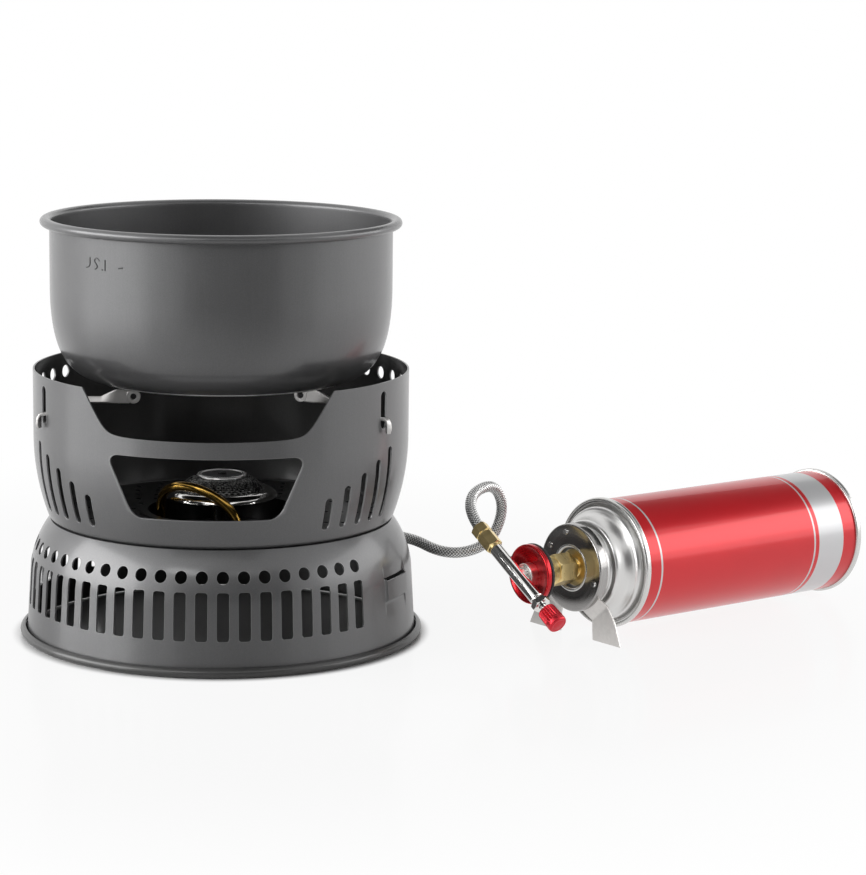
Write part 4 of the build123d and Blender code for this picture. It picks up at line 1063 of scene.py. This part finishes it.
def hex_rows(low, high, flats, chamfer):
    """Rows of a hexagon whose corners are turned off at both ends."""
    share = np.linspace(0, 1, 6)
    corner_r = flats / math.sqrt(3) + 0.02
    face_r = flats / 2 * 0.99
    cone = face_r + share * (corner_r - face_r)
    first = np.column_stack([cone, low + share * chamfer, np.full(6, flats)])
    last = np.column_stack([cone[::-1], high - chamfer + share * chamfer, np.full(6, flats)])
    return np.concatenate([first, last])


thread_r = 7.3
thread_depth = 0.2
thread_pitch = 0.8
thread_z = np.linspace(37.2, 48.0, 110)
thread_wave = thread_r + thread_depth * np.cos(2 * np.pi * thread_z / thread_pitch)
adapter_rows = np.concatenate([
    [(3.0, 19.6, 0), (9.5, 19.6, 0), (9.7, 19.9, 0), (9.7, 21.3, 0), (9.3, 21.7, 0), (5.4, 21.8, 0),
     (5.0, 22.1, 0), (5.0, 24.9, 0), (5.3, 25.3, 0)],
    hex_rows(25.3, 36.9, 14.8, 0.9),
    [(7.4, 36.9, 0), (7.5, 37.1, 0)],
    np.column_stack([thread_wave, thread_z, np.zeros(len(thread_z))]),
    [(7.2, 48.2, 0), (7.0, 48.4, 0), (3.0, 48.4, 0)]])
turned_piece("adapter_shank", turned_bar(adapter_rows), turned_brass, "stove_base", "brass", "adapter_body",
             96, on_can, crease=24)

# Coupling
# Red anodised dished disc with a black rubber gasket behind it, screwed on the
# adapter by a slotted plated plug.
rubber, tree, shader, source = new_finish("gasket_rubber", 0.0)
dust = noise_of(tree, source["Object"], 900.0)
black = blended(tree, ranged(tree, dust), (0.009, 0.009, 0.01), (0.022, 0.022, 0.023))
painted(tree, shader, black, ranged(tree, dust, 0.45, 0.62))
bumped(tree, dust, shader, 0.00005)
gasket_profile = eased([(7.1, 48.4), (15.6, 48.4), (15.6, 50.0), (7.1, 50.0)], radius=0.5)
turned_piece("rubber_gasket", gasket_profile.T, rubber, "stove_base", "gasket", "coupling_gasket",
             place=on_can)


def red_finish(name, dark, light, rough, coat):
    """Red anodised aluminium: fine turning lines and slow clouds between two reds."""
    finish, tree, shader, source = new_finish(name, 0.8, Coat_Weight=coat, Coat_Roughness=0.08)
    lines = noise_of(tree, source["UV"], 1500.0, 3.0, (0.02, 1, 1))
    cloud = noise_of(tree, source["Object"], 120.0)
    skin = blended(tree, ranged(tree, lines), dark, light)
    skin = blended(tree, ranged(tree, cloud, 0.0, 0.2), skin, dark)
    painted(tree, shader, skin, ranged(tree, lines, *rough))
    bumped(tree, lines, shader, 0.000004, 0.3)
    return finish


disc_red = red_finish("disc_anodising", (0.46, 0.004, 0.009), (0.58, 0.007, 0.015), (0.22, 0.3), 0.3)
disc_profile = np.concatenate([
    [(4.9, 50.0), (14.6, 50.0)],
    curve_points((14.6, 50.0), (15.5, 50.0), (15.5, 51.0), 6)[1:],
    curve_points((15.5, 52.4), (15.5, 53.1), (14.9, 53.2), 6),
    [(14.6, 53.2)],
    curve_points((14.6, 53.2), (11.6, 51.5), (8.0, 51.5), 16)[1:],
    [(4.9, 51.5)]])
turned_piece("coupling_dish", disc_profile.T, disc_red, "stove_base", "red_anodised", "coupling_disc",
             160, on_can)
satin_nickel = even_metal("satin_nickel", (0.82, 0.81, 0.79), (0.3, 0.4), 0.93, 700.0, 0.000003)
dressed(satin_nickel, "coupling_plug")
collar_profile = eased([(4.85, 51.4), (6.0, 51.4), (6.0, 55.8), (5.7, 56.2), (4.85, 56.2)], radius=0.25)
turned_piece("plug_collar", collar_profile.T, satin_nickel, "stove_base", "chrome", count=96, place=on_can)

# Valve
# Nickel-plated barrel across the coupling: the hose enters above, and the spindle
# comes out below through a plated gland nut.
valve_at = np.array([154.440, -29.473, 37.375])
valve_dir = np.array([0.54698, -0.65173, -0.52542])
valve_side = np.cross(valve_dir, upward)
valve_side /= np.linalg.norm(valve_side)
valve_axes = np.array([valve_side, np.cross(valve_dir, valve_side), valve_dir])
on_valve = (valve_at, valve_axes)
barrel_profile = eased([(2.2, -20.9), (3.6, -20.9), (3.6, 17.4), (3.3, 17.8), (3.3, 18.5), (3.6, 18.9),
                        (3.6, 19.3), (2.2, 19.3)], radius=0.35)
turned_piece("valve_barrel", barrel_profile.T, polished_nickel, "stove_base", "chrome", "valve_body",
             96, on_valve)
gland_rows = np.concatenate([[(2.0, 19.3, 0)], hex_rows(19.3, 22.7, 8.8, 0.6), [(2.0, 22.7, 0)]])
turned_piece("gland_hexagon", turned_bar(gland_rows), polished_nickel, "stove_base", "chrome", "gland_nut",
             96, on_valve, crease=24)

# Hose
# Rubber gas hose under a braid of stainless wire, from the burner through the port
# and in a standing loop to the valve, with a crimped brass ferrule at each end.
hose_route = np.array([
    (21.478, 10.709, 36.5), (40.272, 20.079, 36.5), (66, 34, 41.5), (94, 45, 42.5), (117, 28, 34.5),
    (139.5, 36, 38.5), (147.6, 42.6, 57.5), (141.8, 34.4, 73.2), (129.2, 18, 70.6),
    (129.607, 0.115, 61.229), (138.359, -10.312, 52.823)])
hose_d = 5.4
hose_sides = 64
hose_centre, hose_x, hose_y, hose_s = along_line(nurbs_points("hose_line", hose_route, 40), 1350)
around = full_turn(hose_sides)[None]
strands = 9
lead = 14.5
braid_rise = 0.2
braid_depth = 0.42
phase_a = strands * (around / (2 * np.pi) + hose_s[:, None] / lead)
phase_b = strands * (around / (2 * np.pi) - hose_s[:, None] / lead)
crown_a, crown_b = (np.abs(np.sin(np.pi * phase)) for phase in (phase_a, phase_b))
over = (np.floor(phase_a) + np.floor(phase_b)) % 2 == 0
braid = np.where(over, crown_a, crown_b)
hose_r = hose_d / 2 + braid_rise - braid_depth * (1 - np.sqrt(braid))
hose_grid = tube(hose_centre, hose_x, hose_y, hose_r, hose_sides)
braid_finish, tree, shader, source = new_finish("steel_braid", 1.0)
wire = noise_of(tree, source["Object"], 1500.0)
crown_share = ranged(tree, held_value(tree, "braid"), 0.0, 1.0, 0.35, 0.8)
steel = blended(tree, crown_share, (0.04, 0.04, 0.041), (0.82, 0.82, 0.81))
painted(tree, shader, steel, ranged(tree, wire, 0.26, 0.44))
hose_piece = grid_piece("braided_hose", hose_grid, braid_finish, "stove_base", "braid", "hose", loop=False,
                        crease=180, held={"braid": np.pad(braid, ((1, 1), (0, 0)))})
ferrule_rows = np.concatenate([
    [(2.75, -37.4, 0)],
    hex_rows(-37.4, -32.0, 8.4, 0.4),
    [(4.05, -31.9, 0), (4.05, -31.4, 0)],
    hex_rows(-31.3, -22.2, 8.4, 0.4),
    [(3.9, -22.0, 0), (3.8, -20.9, 0), (2.75, -20.9, 0)]])
ferrule_piece = turned_piece("crimped_ferrule", turned_bar(ferrule_rows), turned_brass, "stove_base", "brass",
                             "valve_ferrule", 96, on_valve, crease=24)

# Knob
# Red anodised aluminium knob with straight flutes and a plain domed end, pressed on
# the spindle.
knob_red = red_finish("knob_anodising", (0.56, 0.02, 0.034), (0.68, 0.034, 0.05), (0.36, 0.44), 0.1)
knob_r = 5.1
knob_low = 26.1
knob_profile = np.concatenate([
    [(0.0, knob_low), (4.0, knob_low)],
    curve_points((4.0, knob_low), (4.7, knob_low), (4.8, 26.8), 5)[1:],
    np.stack([np.linspace(4.85, knob_r, 16), np.linspace(27.0, 35.0, 16)], -1),
    curve_points((knob_r, 35.8), (knob_r, 37.3), (4.0, 37.6), 12),
    curve_points((3.7, 37.55), (3.4, 37.4), (3.0, 37.5), 5),
    [(1.5, 37.75), (0.0, 37.8)]])
knob_side_r = 4.5
flute_count = 20
flute_cells = 10
flute_depth = 0.6
flute_start_z = (26.5, 27.2)
flute_end_z = (33.6, 34.6)
flute_sharpness = 3
around = full_turn(flute_count * flute_cells)
knob_z = knob_profile[:, 1]
fluted = (smooth_step(knob_z, *flute_start_z) * (1 - smooth_step(knob_z, *flute_end_z))
          * (knob_profile[:, 0] > knob_side_r))
groove = np.abs(np.cos(flute_count / 2 * around))[None] ** flute_sharpness
knob_radius = knob_profile[:, :1] - flute_depth * fluted[:, None] * groove
turned_piece("fluted_knob", (knob_radius, knob_z), knob_red, "knob", "red_anodised", "control_knob",
             len(around), on_valve, loop=False, crease=40)
